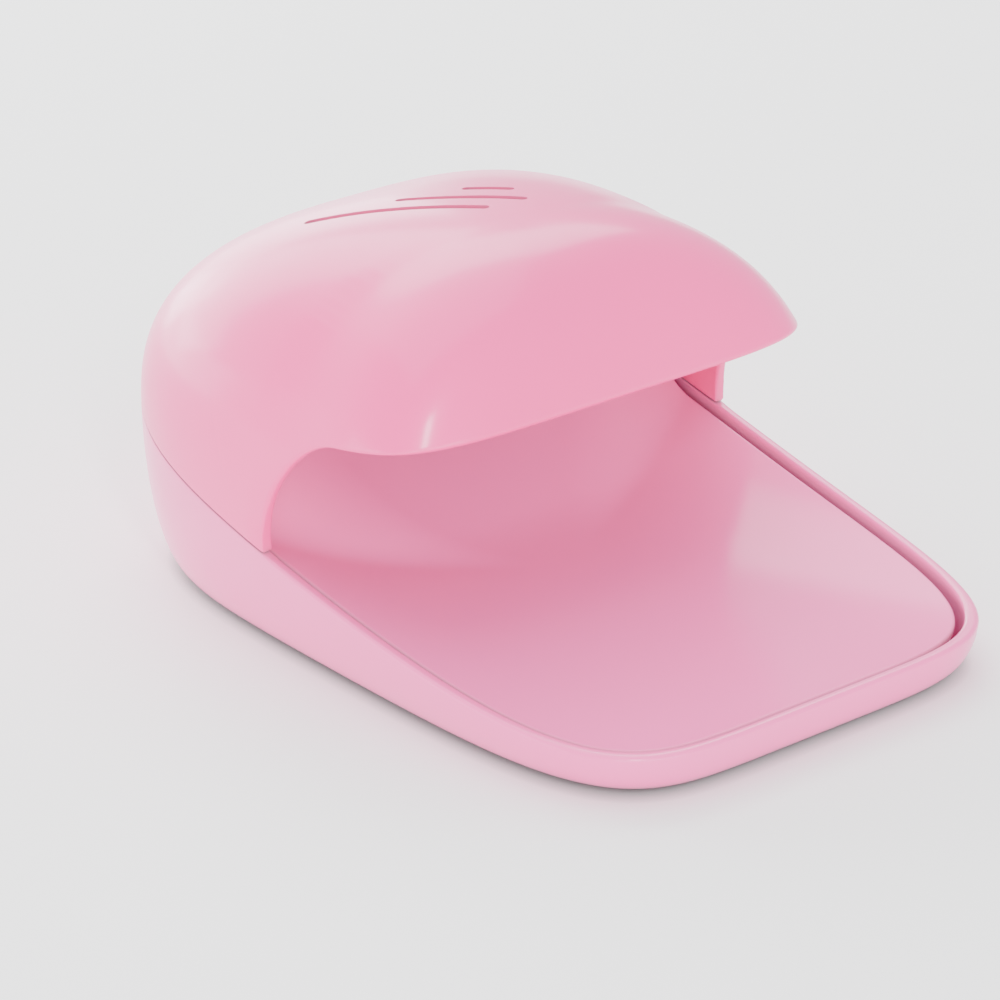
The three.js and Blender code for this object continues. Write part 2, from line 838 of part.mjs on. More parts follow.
function makeSwitchBody() {
  const housing = toSolid(block(
    -switchLength / 2, switchLength / 2, switchY - switchDepth / 2, switchY + switchDepth / 2,
    switchZ, switchZ + switchHeight,
  ));
  const reach = switchLength / 2 + earLength;
  const ears = toSolid(block(
    -reach, reach, switchY - switchDepth / 2, switchY + switchDepth / 2, switchZ, switchZ + earThickness,
  ));
  const well = toSolid(block(
    -plungerWidth / 2 - fitGap, plungerWidth / 2 + fitGap,
    switchY - plungerDepth / 2 - fitGap, switchY + plungerDepth / 2 + fitGap,
    switchZ + earThickness, switchZ + switchHeight + overrun,
  ));
  const pegHoles = sides.map((side) => toSolid(upright(
    pegRadius + fitGap, side * (switchLength + earLength) / 2, switchY,
    switchZ - overrun, switchZ + overrun, screwSegments,
  )));
  return toGeometry(cutBy(housing.add(ears), [well, ...pegHoles]));
}

function makeSwitchPlunger() {
  return block(
    -plungerWidth / 2, plungerWidth / 2, switchY - plungerDepth / 2, switchY + plungerDepth / 2,
    switchZ + earThickness + plungerStroke, plungerTop,
  );
}

const tagY = switchY - switchDepth / 2 - fitGap - tagLength / 2;
const tagX = switchLength / 2 - tagWidth / 2;

function makeSwitchTag(side) {
  return block(
    side * tagX - tagWidth / 2, side * tagX + tagWidth / 2, tagY - tagLength / 2, tagY + tagLength / 2,
    switchZ, switchZ + tagThickness,
  );
}

// A cell with its nub towards +X when side is 1
function makeCell(y, side) {
  const nubTip = bayHalf - contactThickness - fitGap * 2;
  const bodyEnd = nubTip - nubLength;
  const body = toSolid(lying(cellRadius, bodyEnd - cellBody, bodyEnd, y, cellZ));
  const nub = toSolid(lying(nubRadius, bodyEnd - nubLength, nubTip, y, cellZ, screwSegments));
  const geometry = toGeometry(body.add(nub));
  if (side < 0) {
    geometry.translate(0, -y, 0);
    geometry.rotateZ(Math.PI);
    geometry.translate(0, y, 0);
  }
  return geometry;
}

const contactLow = cellZ - contactWidth / 2;
const contactHigh = cellZ + contactWidth / 2;
const contactOuter = bayHalf - fitGap;
const contactInner = contactOuter - contactThickness;

function makeContactPlate(y) {
  const plate = toSolid(block(
    -contactOuter, -contactInner, y - contactWidth / 2, y + contactWidth / 2, contactLow, contactHigh,
  ));
  const tab = toSolid(block(
    -contactOuter, -contactInner, y - solderTabWidth / 2, y + solderTabWidth / 2,
    cellZ, cellZ + bayReach + bayWall + solderTabHeight,
  ));
  return toGeometry(plate.add(tab));
}

function makeContactBridge() {
  return block(
    contactInner, contactOuter,
    cellFrontY - contactWidth / 2, cellRearY + contactWidth / 2, contactLow, contactHigh,
  );
}

function makeContactSpring(y, side) {
  const label = side < 0 ? 'front cell spring' : 'rear cell spring';
  const geometry = coil(
    label, contactSpringCurls, contactSpringSmall, contactSpringLarge,
    contactSpringLength, contactSpringWire,
  );
  geometry.rotateY(side * Math.PI / 2);
  geometry.translate(side * (contactInner - fitGap - contactSpringLength), y, cellZ);
  return geometry;
}

function makeBatteryDoor() {
  const halfX = bayHalf - doorGap;
  const added = [
    toSolid(block(
      -doorTongueWidth / 2, doorTongueWidth / 2, doorBackY - overrun, doorBackY + doorTongueReach,
      undersideZ, floorZ - fitGap * 2,
    )),
  ];
  for (const side of sides) {
    added.push(toSolid(block(
      side * doorTabX - doorTabWidth / 2, side * doorTabX + doorTabWidth / 2,
      doorFrontY - doorTabReach, doorFrontY + overrun,
      undersideZ + doorTabRise, undersideZ + doorTabRise + doorTabThickness,
    )));
  }
  const grooves = Array.from({ length: doorRibCount }, (_, i) => {
    const y = doorBackY - doorGap - doorRibPitch * (i + 1);
    return toSolid(block(
      -doorTongueWidth / 2, doorTongueWidth / 2, y - doorRibWidth, y,
      undersideZ - overrun, undersideZ + doorRibHeight,
    ));
  });
  const plate = toSolid(block(
    -halfX, halfX, doorFrontY + doorGap, doorBackY - doorGap, undersideZ, floorZ,
  ));
  return toGeometry(cutBy(joined(plate, added), grooves));
}

// A pan head screw whose head lies below its seat, or above it when turned over
function makeScrew(place, seatZ, shank, head, headHeight, screwLength, headUp = false) {
  const way = headUp ? -1 : 1;
  const profile = [
    [0, seatZ - way * headHeight],
    [head * screwHeadTopShare, seatZ - way * headHeight],
    [head, seatZ - way * headHeight / 2],
    [head, seatZ],
    [shank, seatZ],
    [shank, seatZ + way * (screwLength - shank)],
    [0, seatZ + way * screwLength],
  ];
  return turned(headUp ? profile.reverse() : profile, place.x, place.y, screwSegments);
}

function makeCasingScrew(place) {
  return makeScrew(
    place, casingScrewSeat - fitGap, casingScrewShank, casingScrewHead,
    casingScrewHeadHeight, casingScrewLength,
  );
}

function makeShroudScrew(place) {
  return makeScrew(
    place, ceilingZ - fitGap, smallScrewShank, smallScrewHead, smallScrewHeadHeight,
    ceilingThickness + fitGap + shroudScrewDepth,
  );
}

function makeCradleScrew(place) {
  return makeScrew(
    place, cradleZ + cradleArmHeight + fitGap, smallScrewShank, smallScrewHead, smallScrewHeadHeight,
    cradleArmHeight + cradleScrewDepth, true,
  );
}

function makeFoot(place) {
  return turned([
    [0, 0],
    [footRadius - fitGap, 0],
    [footRadius, fitGap],
    [footRadius, undersideZ + footSink],
    [0, undersideZ + footSink],
  ], place.x, place.y, roundSegments / 2);
}

// The ceiling over the fingers, with the duct round the fan and the posts of the motor's cradle
function makeFanShroud() {
  const slab = toSolid(block(-width, width, 0, length, ceilingZ, ceilingTop));
  const panel = slab.intersect(hoodSolid(wall + fitGap));
  const added = [toSolid(upright(ductRadius + ductWall, 0, fanY, ceilingZ, ductTop))];
  for (const place of cradlePlaces) {
    added.push(toSolid(upright(smallBossRadius, place.x, place.y, ceilingZ, ductTop, screwSegments)));
  }
  const cuts = [toSolid(upright(ductRadius, 0, fanY, ceilingZ - overrun, ductTop + overrun))];
  for (const place of cradlePlaces) {
    cuts.push(toSolid(upright(
      smallScrewShank + fitGap, place.x, place.y,
      ductTop - cradleScrewDepth, ductTop + overrun, screwSegments,
    )));
  }
  for (const place of shroudScrewPlaces) {
    cuts.push(toSolid(upright(
      smallScrewShank + fitGap, place.x, place.y, ceilingZ - overrun, ceilingTop + overrun, screwSegments,
    )));
  }
  for (const place of screwPlaces) {
    cuts.push(toSolid(upright(
      casingBossRadius + fitGap, place.x, place.y,
      ceilingZ - overrun, ceilingTop + overrun, roundSegments / 2,
    )));
  }
  for (const side of sides) {
    cuts.push(toSolid(upright(
      wireHoleRadius, side * wireHoleX, wireHoleY, ceilingZ - overrun, ceilingTop + overrun, screwSegments,
    )));
  }
  return toGeometry(cutBy(joined(panel, added), cuts));
}

function ringSolid(outer, inner, z0, z1) {
  const profile = [[inner, z0], [outer, z0], [outer, z1], [inner, z1], [inner, z0]];
  return toSolid(turned(profile, 0, fanY));
}

function makeOutletGrille() {
  const flangeTop = ceilingZ - fitGap;
  const flangeZ = flangeTop - grilleThickness;
  const collar = ductRadius - fitGap;
  const inner = collar - grilleCollarWall;
  const parts = [
    ringSolid(ductRadius + grilleFlange, inner, flangeZ, flangeTop),
    ringSolid(collar, inner, flangeZ, flangeTop + grilleCollarHeight),
    toSolid(upright(grilleHub, 0, fanY, flangeZ, flangeTop)),
  ];
  const pitch = (inner - grilleHub) / (grilleRingCount + 1);
  for (let i = 1; i <= grilleRingCount; i += 1) {
    const radius = grilleHub + pitch * i;
    parts.push(ringSolid(radius + grilleBar / 2, radius - grilleBar / 2, flangeZ, flangeTop));
  }
  for (let i = 0; i < grilleSpokeCount; i += 1) {
    const spoke = new THREE.BoxGeometry(inner + grilleCollarWall / 2, grilleBar, grilleThickness);
    spoke.translate((inner + grilleCollarWall / 2) / 2, 0, (flangeZ + flangeTop) / 2);
    spoke.rotateZ(i * Math.PI * 2 / grilleSpokeCount);
    spoke.translate(0, fanY, 0);
    parts.push(toSolid(spoke));
  }
  return toGeometry(joined(parts[0], parts.slice(1)));
}

// One blade: a thin strip that leans more at the hub than at the tip
function bladeSolid(turn) {
  const reach = ductRadius - bladeTipGap;
  const rings = [];
  for (let i = 0; i <= bladeSteps; i += 1) {
    const radius = mix(hubRadius - bladeThickness, reach, i / bladeSteps);
    const lean = bladeLean + bladeTwist * (1 - i / bladeSteps);
    const halfZ = hubHeight / 2 - bladeThickness / 2;
    const halfAcross = halfZ / Math.tan(lean);
    const corners = [
      [-halfAcross - bladeThickness / 2, -halfZ],
      [-halfAcross + bladeThickness / 2, -halfZ],
      [halfAcross + bladeThickness / 2, halfZ],
      [halfAcross - bladeThickness / 2, halfZ],
    ];
    rings.push(corners.map(([across, up]) => new THREE.Vector3(radius, across, up)));
  }
  const geometry = solidOfRings(rings);
  geometry.rotateZ(turn);
  geometry.translate(0, fanY, hubZ + hubHeight / 2);
  return toSolid(geometry);
}

function makeImpeller() {
  const hub = toSolid(upright(hubRadius, 0, fanY, hubZ, hubTop));
  const blades = Array.from({ length: bladeCount }, (_, i) => bladeSolid(i * Math.PI * 2 / bladeCount));
  const bore = toSolid(upright(
    shaftRadius + fitGap, 0, fanY, hubZ + bladeThickness, hubTop + overrun, screwSegments,
  ));
  return toGeometry(joined(hub, blades).subtract(bore));
}

function makeMotorShaft() {
  return upright(shaftRadius, 0, fanY, hubZ + bladeThickness + fitGap, motorTop - fitGap, screwSegments);
}

function makeMotorBearing() {
  return turned([
    [shaftRadius + fitGap, motorZ - bearingReach],
    [bearingRadius, motorZ - bearingReach],
    [bearingRadius, motorZ + motorWall + bearingInside],
    [shaftRadius + fitGap, motorZ + motorWall + bearingInside],
    [shaftRadius + fitGap, motorZ - bearingReach],
  ], 0, fanY, roundSegments / 2);
}

function makeMotorCan() {
  return turned([
    [bearingRadius + fitGap, motorZ],
    [motorRadius, motorZ],
    [motorRadius, motorTop],
    [motorRadius - motorWall, motorTop],
    [motorRadius - motorWall, motorZ + motorWall],
    [bearingRadius + fitGap, motorZ + motorWall],
    [bearingRadius + fitGap, motorZ],
  ], 0, fanY);
}

const magnetOuter = motorRadius - motorWall - fitGap;
const magnetInner = magnetOuter - magnetThickness;
const magnetZ = motorZ + motorWall + fitGap;
const magnetTop = endCapZ - fitGap;

function makeMotorMagnet() {
  return turned([
    [magnetInner, magnetZ],
    [magnetOuter, magnetZ],
    [magnetOuter, magnetTop],
    [magnetInner, magnetTop],
    [magnetInner, magnetZ],
  ], 0, fanY);
}

function makeMotorArmature() {
  const outer = magnetInner - rotorGap;
  const low = motorZ + motorWall + bearingInside + fitGap;
  return turned([
    [shaftRadius + fitGap, low],
    [outer, low],
    [outer, magnetTop],
    [shaftRadius + fitGap, magnetTop],
    [shaftRadius + fitGap, low],
  ], 0, fanY, roundSegments / 2);
}

function makeMotorEndCap() {
  const cap = toSolid(turned([
    [shaftRadius + fitGap, endCapZ],
    [magnetOuter, endCapZ],
    [magnetOuter, motorTop],
    [shaftRadius + fitGap, motorTop],
    [shaftRadius + fitGap, endCapZ],
  ], 0, fanY));
  const slots = sides.map((side) => toSolid(block(
    side * terminalX - tagWidth / 2 - fitGap, side * terminalX + tagWidth / 2 + fitGap,
    fanY + tagLength, fanY + tagLength * 2 + fitGap, endCapZ + motorWall, motorTop + overrun,
  )));
  return toGeometry(cutBy(cap, slots));
}

const terminalY = fanY + tagLength * 1.5 + fitGap / 2;
const terminalTop = motorTop + tagLength / 2;

function makeMotorTerminal(side) {
  return block(
    side * terminalX - tagWidth / 2, side * terminalX + tagWidth / 2,
    terminalY - tagThickness / 2, terminalY + tagThickness / 2,
    endCapZ + motorWall + fitGap, terminalTop,
  );
}

function makeMotorCradle() {
  const inner = motorRadius + fitGap;
  const outer = inner + cradleWall;
  const cup = toSolid(turned([
    [inner - cradleLip, cradleZ],
    [outer, cradleZ],
    [outer, cradleZ + cradleHeight],
    [inner, cradleZ + cradleHeight],
    [inner, cradleZ + cradleLipThickness],
    [inner - cradleLip, cradleZ + cradleLipThickness],
    [inner - cradleLip, cradleZ],
  ], 0, fanY));
  const parts = [];
  cradleAngles.forEach((angle, i) => {
    const arm = new THREE.BoxGeometry(cradlePostReach - inner - fitGap, cradleArmWidth, cradleArmHeight);
    arm.translate((cradlePostReach + inner + fitGap) / 2, 0, cradleZ + cradleArmHeight / 2);
    arm.rotateZ(angle);
    arm.translate(0, fanY, 0);
    const place = cradlePlaces[i];
    parts.push(toSolid(arm));
    parts.push(toSolid(upright(
      smallBossRadius, place.x, place.y, cradleZ, cradleZ + cradleArmHeight, screwSegments,
    )));
  });
  const holes = cradlePlaces.map((place) => toSolid(upright(
    smallScrewShank + fitGap, place.x, place.y, cradleZ - overrun, cradleZ + overrun, screwSegments,
  )));
  return toGeometry(cutBy(joined(cup, parts), holes));
}

// A wire along a smooth curve through its points
function wire(points, steps) {
  const section = new THREE.Shape(Array.from({ length: wireSides }, (_, i) => {
    const angle = i * Math.PI * 2 / wireSides;
    return new THREE.Vector2(Math.cos(angle) * wireRadius, Math.sin(angle) * wireRadius);
  }));
  const extrudePath = new THREE.CatmullRomCurve3(points.map((point) => new THREE.Vector3(...point)));
  return new THREE.ExtrudeGeometry(section, { steps, extrudePath, bevelEnabled: false });
}

const wireRest = floorZ + fitGap * 2 + wireRadius;
const wireRunX = width / 2 - wireRunInset;
const tabTop = cellZ + bayReach + bayWall + solderTabHeight;
const tabX = -(contactOuter + contactInner) / 2;
const wireAtTab = tabTop + fitGap;
const overDuct = ductTop + wireRadius * 5;
const behindDuctY = fanY + ductRadius + ductWall;

function makeBatterySwitchWire() {
  return wire([
    [tabX, cellRearY, wireAtTab],
    [tabX, cellRearY, wireAtTab + wireRadius * 2],
    [-wireRunX + fitGap, cellRearY - cellRadius / 2, wireAtTab],
    [-wireRunX, cellRearY - cellRadius, cellZ],
    [-wireRunX, cellFrontY, wireRest + fitGap],
    [-wireRunX, hingeY, wireRest],
    [-wireRunX + wireRadius * 2, hingeY - lugRadius * 3, wireRest],
    [-switchLength * 2, switchY - switchDepth, wireRest],
    [-switchLength, tagY - tagLength, wireRest],
    [-tagX, tagY - tagLength - wireRadius * 2, wireRest],
    [-tagX, tagY - tagLength / 2 - fitGap, wireRest],
  ], switchWireSteps);
}

function makeSwitchMotorWire() {
  return wire([
    [tagX, tagY - tagLength / 2 - fitGap, wireRest],
    [tagX, tagY - tagLength - wireRadius * 2, wireRest],
    [switchLength, tagY - tagLength, wireRest],
    [switchLength * 2, switchY - switchDepth, wireRest],
    [wireRunX - wireRadius * 2, hingeY - lugRadius * 3, wireRest],
    [wireRunX, hingeY, wireRest],
    [wireRunX, cellFrontY, wireRest + fitGap],
    [wireRunX, cellFrontY + cellRadius, cellZ],
    [wireRunX - cellRadius, cellRearY - cellRadius / 2, cellZ + cellRadius * 2],
    [wireHoleX * 1.5, wireHoleY - wireRadius, ceilingZ - cellRadius],
    [wireHoleX, wireHoleY, ceilingZ],
    [wireHoleX, wireHoleY, ceilingTop + wireRadius * 2],
    [wireHoleX, behindDuctY + wireRadius * 2, overDuct],
    [terminalX * 1.5, behindDuctY - cellRadius, terminalTop - wireRadius * 5],
    [terminalX, terminalY + motorRadius - wireRadius * 2, terminalTop - wireRadius],
    [terminalX, terminalY + tagThickness / 2 + wireRadius + fitGap, motorTop + wireRadius + fitGap / 2],
  ], longWireSteps);
}

function makeBatteryMotorWire() {
  return wire([
    [tabX, cellFrontY, wireAtTab],
    [tabX, cellFrontY, wireAtTab + wireRadius * 2],
    [tabX + cellRadius, cellRearY - cellRadius, tabTop + cellRadius],
    [-wireHoleX * 1.5, wireHoleY - wireRadius, ceilingZ - cellRadius],
    [-wireHoleX, wireHoleY, ceilingZ],
    [-wireHoleX, wireHoleY, ceilingTop + wireRadius * 2],
    [-wireHoleX, behindDuctY + wireRadius * 2, overDuct],
    [-terminalX * 1.5, behindDuctY - cellRadius, terminalTop - wireRadius * 5],
    [-terminalX, terminalY + motorRadius - wireRadius * 2, terminalTop - wireRadius],
    [-terminalX, terminalY + tagThickness / 2 + wireRadius + fitGap, motorTop + wireRadius + fitGap / 2],
  ], shortWireSteps);
}

function finish(color, roughness, metalness = 0) {
  return new THREE.MeshStandardMaterial({ color, roughness, metalness });
}

const finishes = {
  casing: finish('#e9b2c4', 0.28),
  plate: finish('#e5a8bf', 0.25),
  shroud: finish('#dd9fb6', 0.4),
  fan: finish('#f1eef0', 0.4),
  steel: finish('#b9bcc0', 0.35, 1),
  brass: finish('#c9a55a', 0.35, 1),
  magnet: finish('#3c3d40', 0.7),
  rubber: finish('#8f8a8d', 0.9),
  cell: finish('#4d5560', 0.4),
  black: finish('#26262a', 0.5),
  red: finish('#b2302f', 0.5),
  dark: finish('#2b2b2e', 0.5),
};

const dryer = new THREE.Group();
dryer.position.y = -length / 2;

function place(name, geometry, material) {
  const mesh = new THREE.Mesh(geometry, material);
  mesh.name = name;
  dryer.add(mesh);
}

function placeEach(name, spots, make, material) {
  spots.forEach((spot, i) => place(`${name}_${i + 1}`, make(spot), material));
}

place('lower_casing', makeLowerCasing(), finishes.casing);
place('upper_casing', makeUpperCasing(), finishes.casing);
place('press_plate', makePressPlate(), finishes.plate);
place('hinge_pin_left', makeHingePin(-1), finishes.steel);
place('hinge_pin_right', makeHingePin(1), finishes.steel);
place('plate_spring_left', makePlateSpring(-1), finishes.steel);
place('plate_spring_right', makePlateSpring(1), finishes.steel);
place('switch_body', makeSwitchBody(), finishes.dark);
place('switch_plunger', makeSwitchPlunger(), finishes.fan);
place('switch_tag_left', makeSwitchTag(-1), finishes.brass);
place('switch_tag_right', makeSwitchTag(1), finishes.brass);
place('battery_cell_front', makeCell(cellFrontY, 1), finishes.cell);
place('battery_cell_rear', makeCell(cellRearY, -1), finishes.cell);
place('battery_door', makeBatteryDoor(), finishes.casing);
place('contact_negative', makeContactPlate(cellFrontY), finishes.steel);
place('contact_positive', makeContactPlate(cellRearY), finishes.steel);
place('contact_bridge', makeContactBridge(), finishes.steel);
place('contact_spring_front', makeContactSpring(cellFrontY, -1), finishes.steel);
place('contact_spring_rear', makeContactSpring(cellRearY, 1), finishes.steel);
place('fan_shroud', makeFanShroud(), finishes.shroud);
place('outlet_grille', makeOutletGrille(), finishes.shroud);
place('impeller', makeImpeller(), finishes.fan);
place('motor_shaft', makeMotorShaft(), finishes.steel);
place('motor_bearing', makeMotorBearing(), finishes.brass);
place('motor_can', makeMotorCan(), finishes.steel);
place('motor_magnet', makeMotorMagnet(), finishes.magnet);
place('motor_armature', makeMotorArmature(), finishes.brass);
place('motor_end_cap', makeMotorEndCap(), finishes.dark);
place('motor_terminal_left', makeMotorTerminal(-1), finishes.brass);
place('motor_terminal_right', makeMotorTerminal(1), finishes.brass);
place('motor_cradle', makeMotorCradle(), finishes.shroud);
placeEach('cradle_screw', cradlePlaces, makeCradleScrew, finishes.steel);
placeEach('shroud_screw', shroudScrewPlaces, makeShroudScrew, finishes.steel);
placeEach('casing_screw', screwPlaces, makeCasingScrew, finishes.steel);
placeEach('foot', footPlaces, makeFoot, finishes.rubber);
place('wire_battery_switch', makeBatterySwitchWire(), finishes.red);
place('wire_switch_motor', makeSwitchMotorWire(), finishes.red);
place('wire_battery_motor', makeBatteryMotorWire(), finishes.black);

export default dryer;
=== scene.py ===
"""Looks of a battery nail dryer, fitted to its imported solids.

Everything is in metres in the row's frame: +Z up, -Y out of the open front, the feet on z = 0.
"""

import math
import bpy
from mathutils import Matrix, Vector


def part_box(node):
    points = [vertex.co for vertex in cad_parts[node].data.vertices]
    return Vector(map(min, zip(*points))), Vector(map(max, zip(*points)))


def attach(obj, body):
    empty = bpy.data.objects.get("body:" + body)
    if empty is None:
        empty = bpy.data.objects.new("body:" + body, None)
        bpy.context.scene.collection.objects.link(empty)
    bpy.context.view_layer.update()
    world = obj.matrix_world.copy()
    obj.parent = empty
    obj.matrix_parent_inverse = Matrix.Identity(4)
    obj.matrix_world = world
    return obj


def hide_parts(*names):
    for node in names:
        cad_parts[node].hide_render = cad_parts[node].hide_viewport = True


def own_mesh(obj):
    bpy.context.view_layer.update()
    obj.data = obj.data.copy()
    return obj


bl_info = {
    "name": "Nail Dryer Looks",
    "version": (1, 0, 0),
    "blender": (4, 5, 0),
    "location": "View3D > Sidebar > Nail Dryer",
    "description": "Moulded shells, fittings, finishes and studio of a battery nail dryer",
    "category": "Add Mesh",
}

import bmesh
import bpy
import numpy as np
from bpy.props import FloatProperty, FloatVectorProperty, IntProperty, PointerProperty
from mathutils import Quaternion, Vector

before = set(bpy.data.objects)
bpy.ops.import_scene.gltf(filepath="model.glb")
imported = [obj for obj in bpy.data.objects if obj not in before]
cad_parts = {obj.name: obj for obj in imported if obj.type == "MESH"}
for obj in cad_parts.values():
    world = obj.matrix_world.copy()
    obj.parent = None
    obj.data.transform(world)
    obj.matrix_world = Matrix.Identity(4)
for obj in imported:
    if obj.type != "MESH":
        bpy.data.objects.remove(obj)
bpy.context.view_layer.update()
LOWER_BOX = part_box("lower_casing")
UPPER_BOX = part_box("upper_casing")

MM = 0.001

# Casing outline, as the solids have it
WIDEST_FROM_BACK = 54 * MM
FRONT_POWER = 5.7
BACK_POWER = 3.15
FRONT_TAPER = 0.073
TAPER_POWER = 1.5
RIM_FRONT = 8.1 * MM
RIM_BACK = 32.2 * MM
RIM_POWER = 1.62
SIDE_TUCK = 4.6 * MM
FRONT_TUCK = 2.9 * MM
BACK_TUCK = 8.2 * MM
UNDERSIDE = 1 * MM
FLOOR = 2.6 * MM
FIT_GAP = 0.3 * MM

# How far a cutting tool runs on past what it cuts
OVERRUN = 5 * MM

# Hood
VISOR_REACH = 38.6 * MM
CROWN_FROM_BACK = 63.5 * MM
VISOR_SEAM_POWER = 7.4
VISOR_CROWN_POWER = 2.6
VISOR_BLEND_POWER = 1.7
SIDE_ROUND = (1.91, 2.47)
CROWN_ROUND = (2.41, 3.14)
POST_FROM_BACK = 58 * MM
POST_TOP = 20.5 * MM
LIP_DROP = 27.4 * MM
ARCH_REACH = 14.5 * MM
ARCH_POWER = 1.13
LIP_SLOPE = 0.148
COLUMN_LEAN = 0.7
SLOT_TURN = 0.67
SLOT_PITCH = 5.6 * MM
SLOT_MIDDLE = (-10.5 * MM, 20.3 * MM)
SLOT_LENGTHS = (31.5 * MM, 22.5 * MM, 9 * MM)
SLOT_LEADS = (0, 9.7 * MM, 13 * MM)

# Press plate
PLATE_MIDDLE_FROM_BACK = 77 * MM
PLATE_BACK_REACH = 21 * MM
PLATE_BACK_POWER = 2.8
PLATE_FLOOR = 6.4 * MM
PLATE_SLOPE = 0.035
PLATE_CURVE_POWER = 3
PLATE_TOP_DROP = 23.4 * MM
PLATE_RISE_ANGLE = 0.95
PLATE_RECESS = 1 * MM

# Fittings inside the lower casing
HINGE_FROM_BACK = 49 * MM
HINGE_Z = 9 * MM
HINGE_X = 29 * MM
LUG_WIDTH = 3.4 * MM
LUG_RADIUS = 2.8 * MM
PIN_BORE = 1.3 * MM
PIN_LENGTH = 8.6 * MM
BRACKET = 2 * MM
SPRING_X = 34 * MM
SPRING_FROM_HINGE = 34 * MM
SPRING_TOP = 7.5 * MM
SPRING_RADIUS = 2.4 * MM
SPRING_WIRE = 0.3 * MM
SPRING_CURLS = 2.5
CUP_BORE = 3 * MM
CUP_RADIUS = 3.6 * MM
CUP_TOP = 3.4 * MM
PAD_RADIUS = 3 * MM
SWITCH_FROM_HINGE = 16 * MM
PEG_X = 6.6 * MM
PEG_RADIUS = 0.9 * MM
PEG_TOP = 4.4 * MM
PRESSER_RADIUS = 1.5 * MM
CELL_RADIUS = 7.25 * MM
CELL_FRONT_FROM_BACK = 36.5 * MM
CELL_REAR_FROM_BACK = 21.5 * MM
CELL_Z = 10.15 * MM
CELL_LENGTH = 49.5 * MM
CELL_NUB = 1 * MM
CELL_NUB_RADIUS = 2.75 * MM
CONTACT_DEPTH = 1 * MM
CONTACT_STAND = 0.7 * MM
CELL_SPRING_LENGTH = 4.1 * MM
CELL_SPRING_RADII = (2 * MM, 3.6 * MM)
BAY_REACH = 7.6 * MM
BAY_WALL = 1.5 * MM
BAY_HALF = 28.45 * MM
CONTACT_NOTCH = 1.8 * MM

# Battery door: hooked tabs at its front edge, a thumb tongue and grip grooves at its back
TAB_X = 15 * MM
TAB_HALF = 3 * MM
TAB_REACH = 1 * MM
TAB_ROOT = 6 * MM
TAB_LOW = 2 * MM
TAB_TOP = 2.58 * MM
TAB_POCKET_TOP = 3.6 * MM
TONGUE_HALF = 6 * MM
TONGUE_REACH = 2.2 * MM
TONGUE_ROOT = 6 * MM
TONGUE_TOP = 2 * MM
GROOVES = 4
GROOVE_FIRST = 2.5 * MM
GROOVE_PITCH = 2.2 * MM
GROOVE_WIDTH = 1 * MM
GROOVE_TOP = 1.3 * MM

# Feet
FOOT_SPOTS = ((30 * MM, 117 * MM), (36.925 * MM, 26.2 * MM))
FOOT_RADIUS = 4 * MM
FOOT_TOP = 1.5 * MM
FOOT_RECESS_RADIUS = 4.3 * MM
FOOT_RECESS_TOP = 1.8 * MM

# Screws of the casing: spots as distances from the middle and from the back
SCREW_SPOTS = ((40.8 * MM, 33.5 * MM), (32.65 * MM, 18.5 * MM))
BOSS_RADIUS = 3 * MM
BORE_RADIUS = 1.4 * MM
HEAD_RECESS_RADIUS = 2.4 * MM
HEAD_RECESS_TOP = 4.6 * MM
LOWER_BOSS_TOP = 14 * MM
LOWER_BORE_TOP = 20 * MM
UPPER_BOSS_LOW = 14.3 * MM
UPPER_BORE_TOP = 18.9 * MM
BOSS_PASSAGE_RADIUS = 3.3 * MM
THREAD_PITCH = 0.75 * MM

# Fan stack
FAN_FROM_BACK = 59.7 * MM
CEILING = 43.6 * MM
CEILING_TOP = 45.4 * MM
DUCT_RADIUS = 23.5 * MM
DUCT_TOP = 51.4 * MM
DUCT_SKIN = 1.5 * MM
SHROUD_SCREW_SPOTS = ((-37 * MM, 67 * MM), (37 * MM, 67 * MM), (0, 19 * MM))
SMALL_BOSS_RADIUS = 2.8 * MM
SMALL_BORE_RADIUS = 1.3 * MM
SHROUD_BORE_DEPTH = 5.3 * MM
CRADLE_BORE_DEPTH = 4.5 * MM
WIRE_PASSAGE_RADIUS = 2 * MM
WIRE_PASSAGE_X = 9 * MM
WIRE_PASSAGE_FROM_BACK = 22 * MM
GRILLE_THICKNESS = 1.2 * MM
GRILLE_COLLAR = 1.6 * MM
GRILLE_HUB = 4.5 * MM
GRILLE_BAR = 1.1 * MM
GRILLE_RINGS = 4
BLADES = 7
BLADE_THICKNESS = 1.1 * MM
BLADE_GAP = 0.9 * MM
IMPELLER_LOW = 46 * MM
IMPELLER_TOP = 50.8 * MM
IMPELLER_HUB = 5.5 * MM
CRADLE_REACH = 28.5 * MM
CRADLE_ANGLES = (math.pi / 2, math.pi * 7 / 6, math.pi * 11 / 6)
MOTOR_Z = 52.8 * MM
MOTOR_TOP = 60.8 * MM
MOTOR_RADIUS = 12.2 * MM
MOTOR_BORE = 2.9 * MM
MOTOR_SKIN = 0.6 * MM

# What the photograph's camera looks at
CAMERA_TARGET = (-6.36 * MM, 4.26 * MM, 17.96 * MM)


def signed_power(value, power):
    """The power of a value's size, with the value's own sign."""
    return np.sign(value) * np.abs(value) ** power


def smooth(value):
    """The S-curve 3 v squared minus 2 v cubed, held between 0 and 1."""
    value = np.clip(value, 0, 1)
    return value * value * (3 - 2 * value)


def mix(first, second, share):
    """A straight blend from first to second."""
    return first + (second - first) * share


def points(x, y, z):
    """Three arrays, stretched to one shape, as an array of points."""
    return np.stack(np.broadcast_arrays(x, y, z), -1).astype(float)


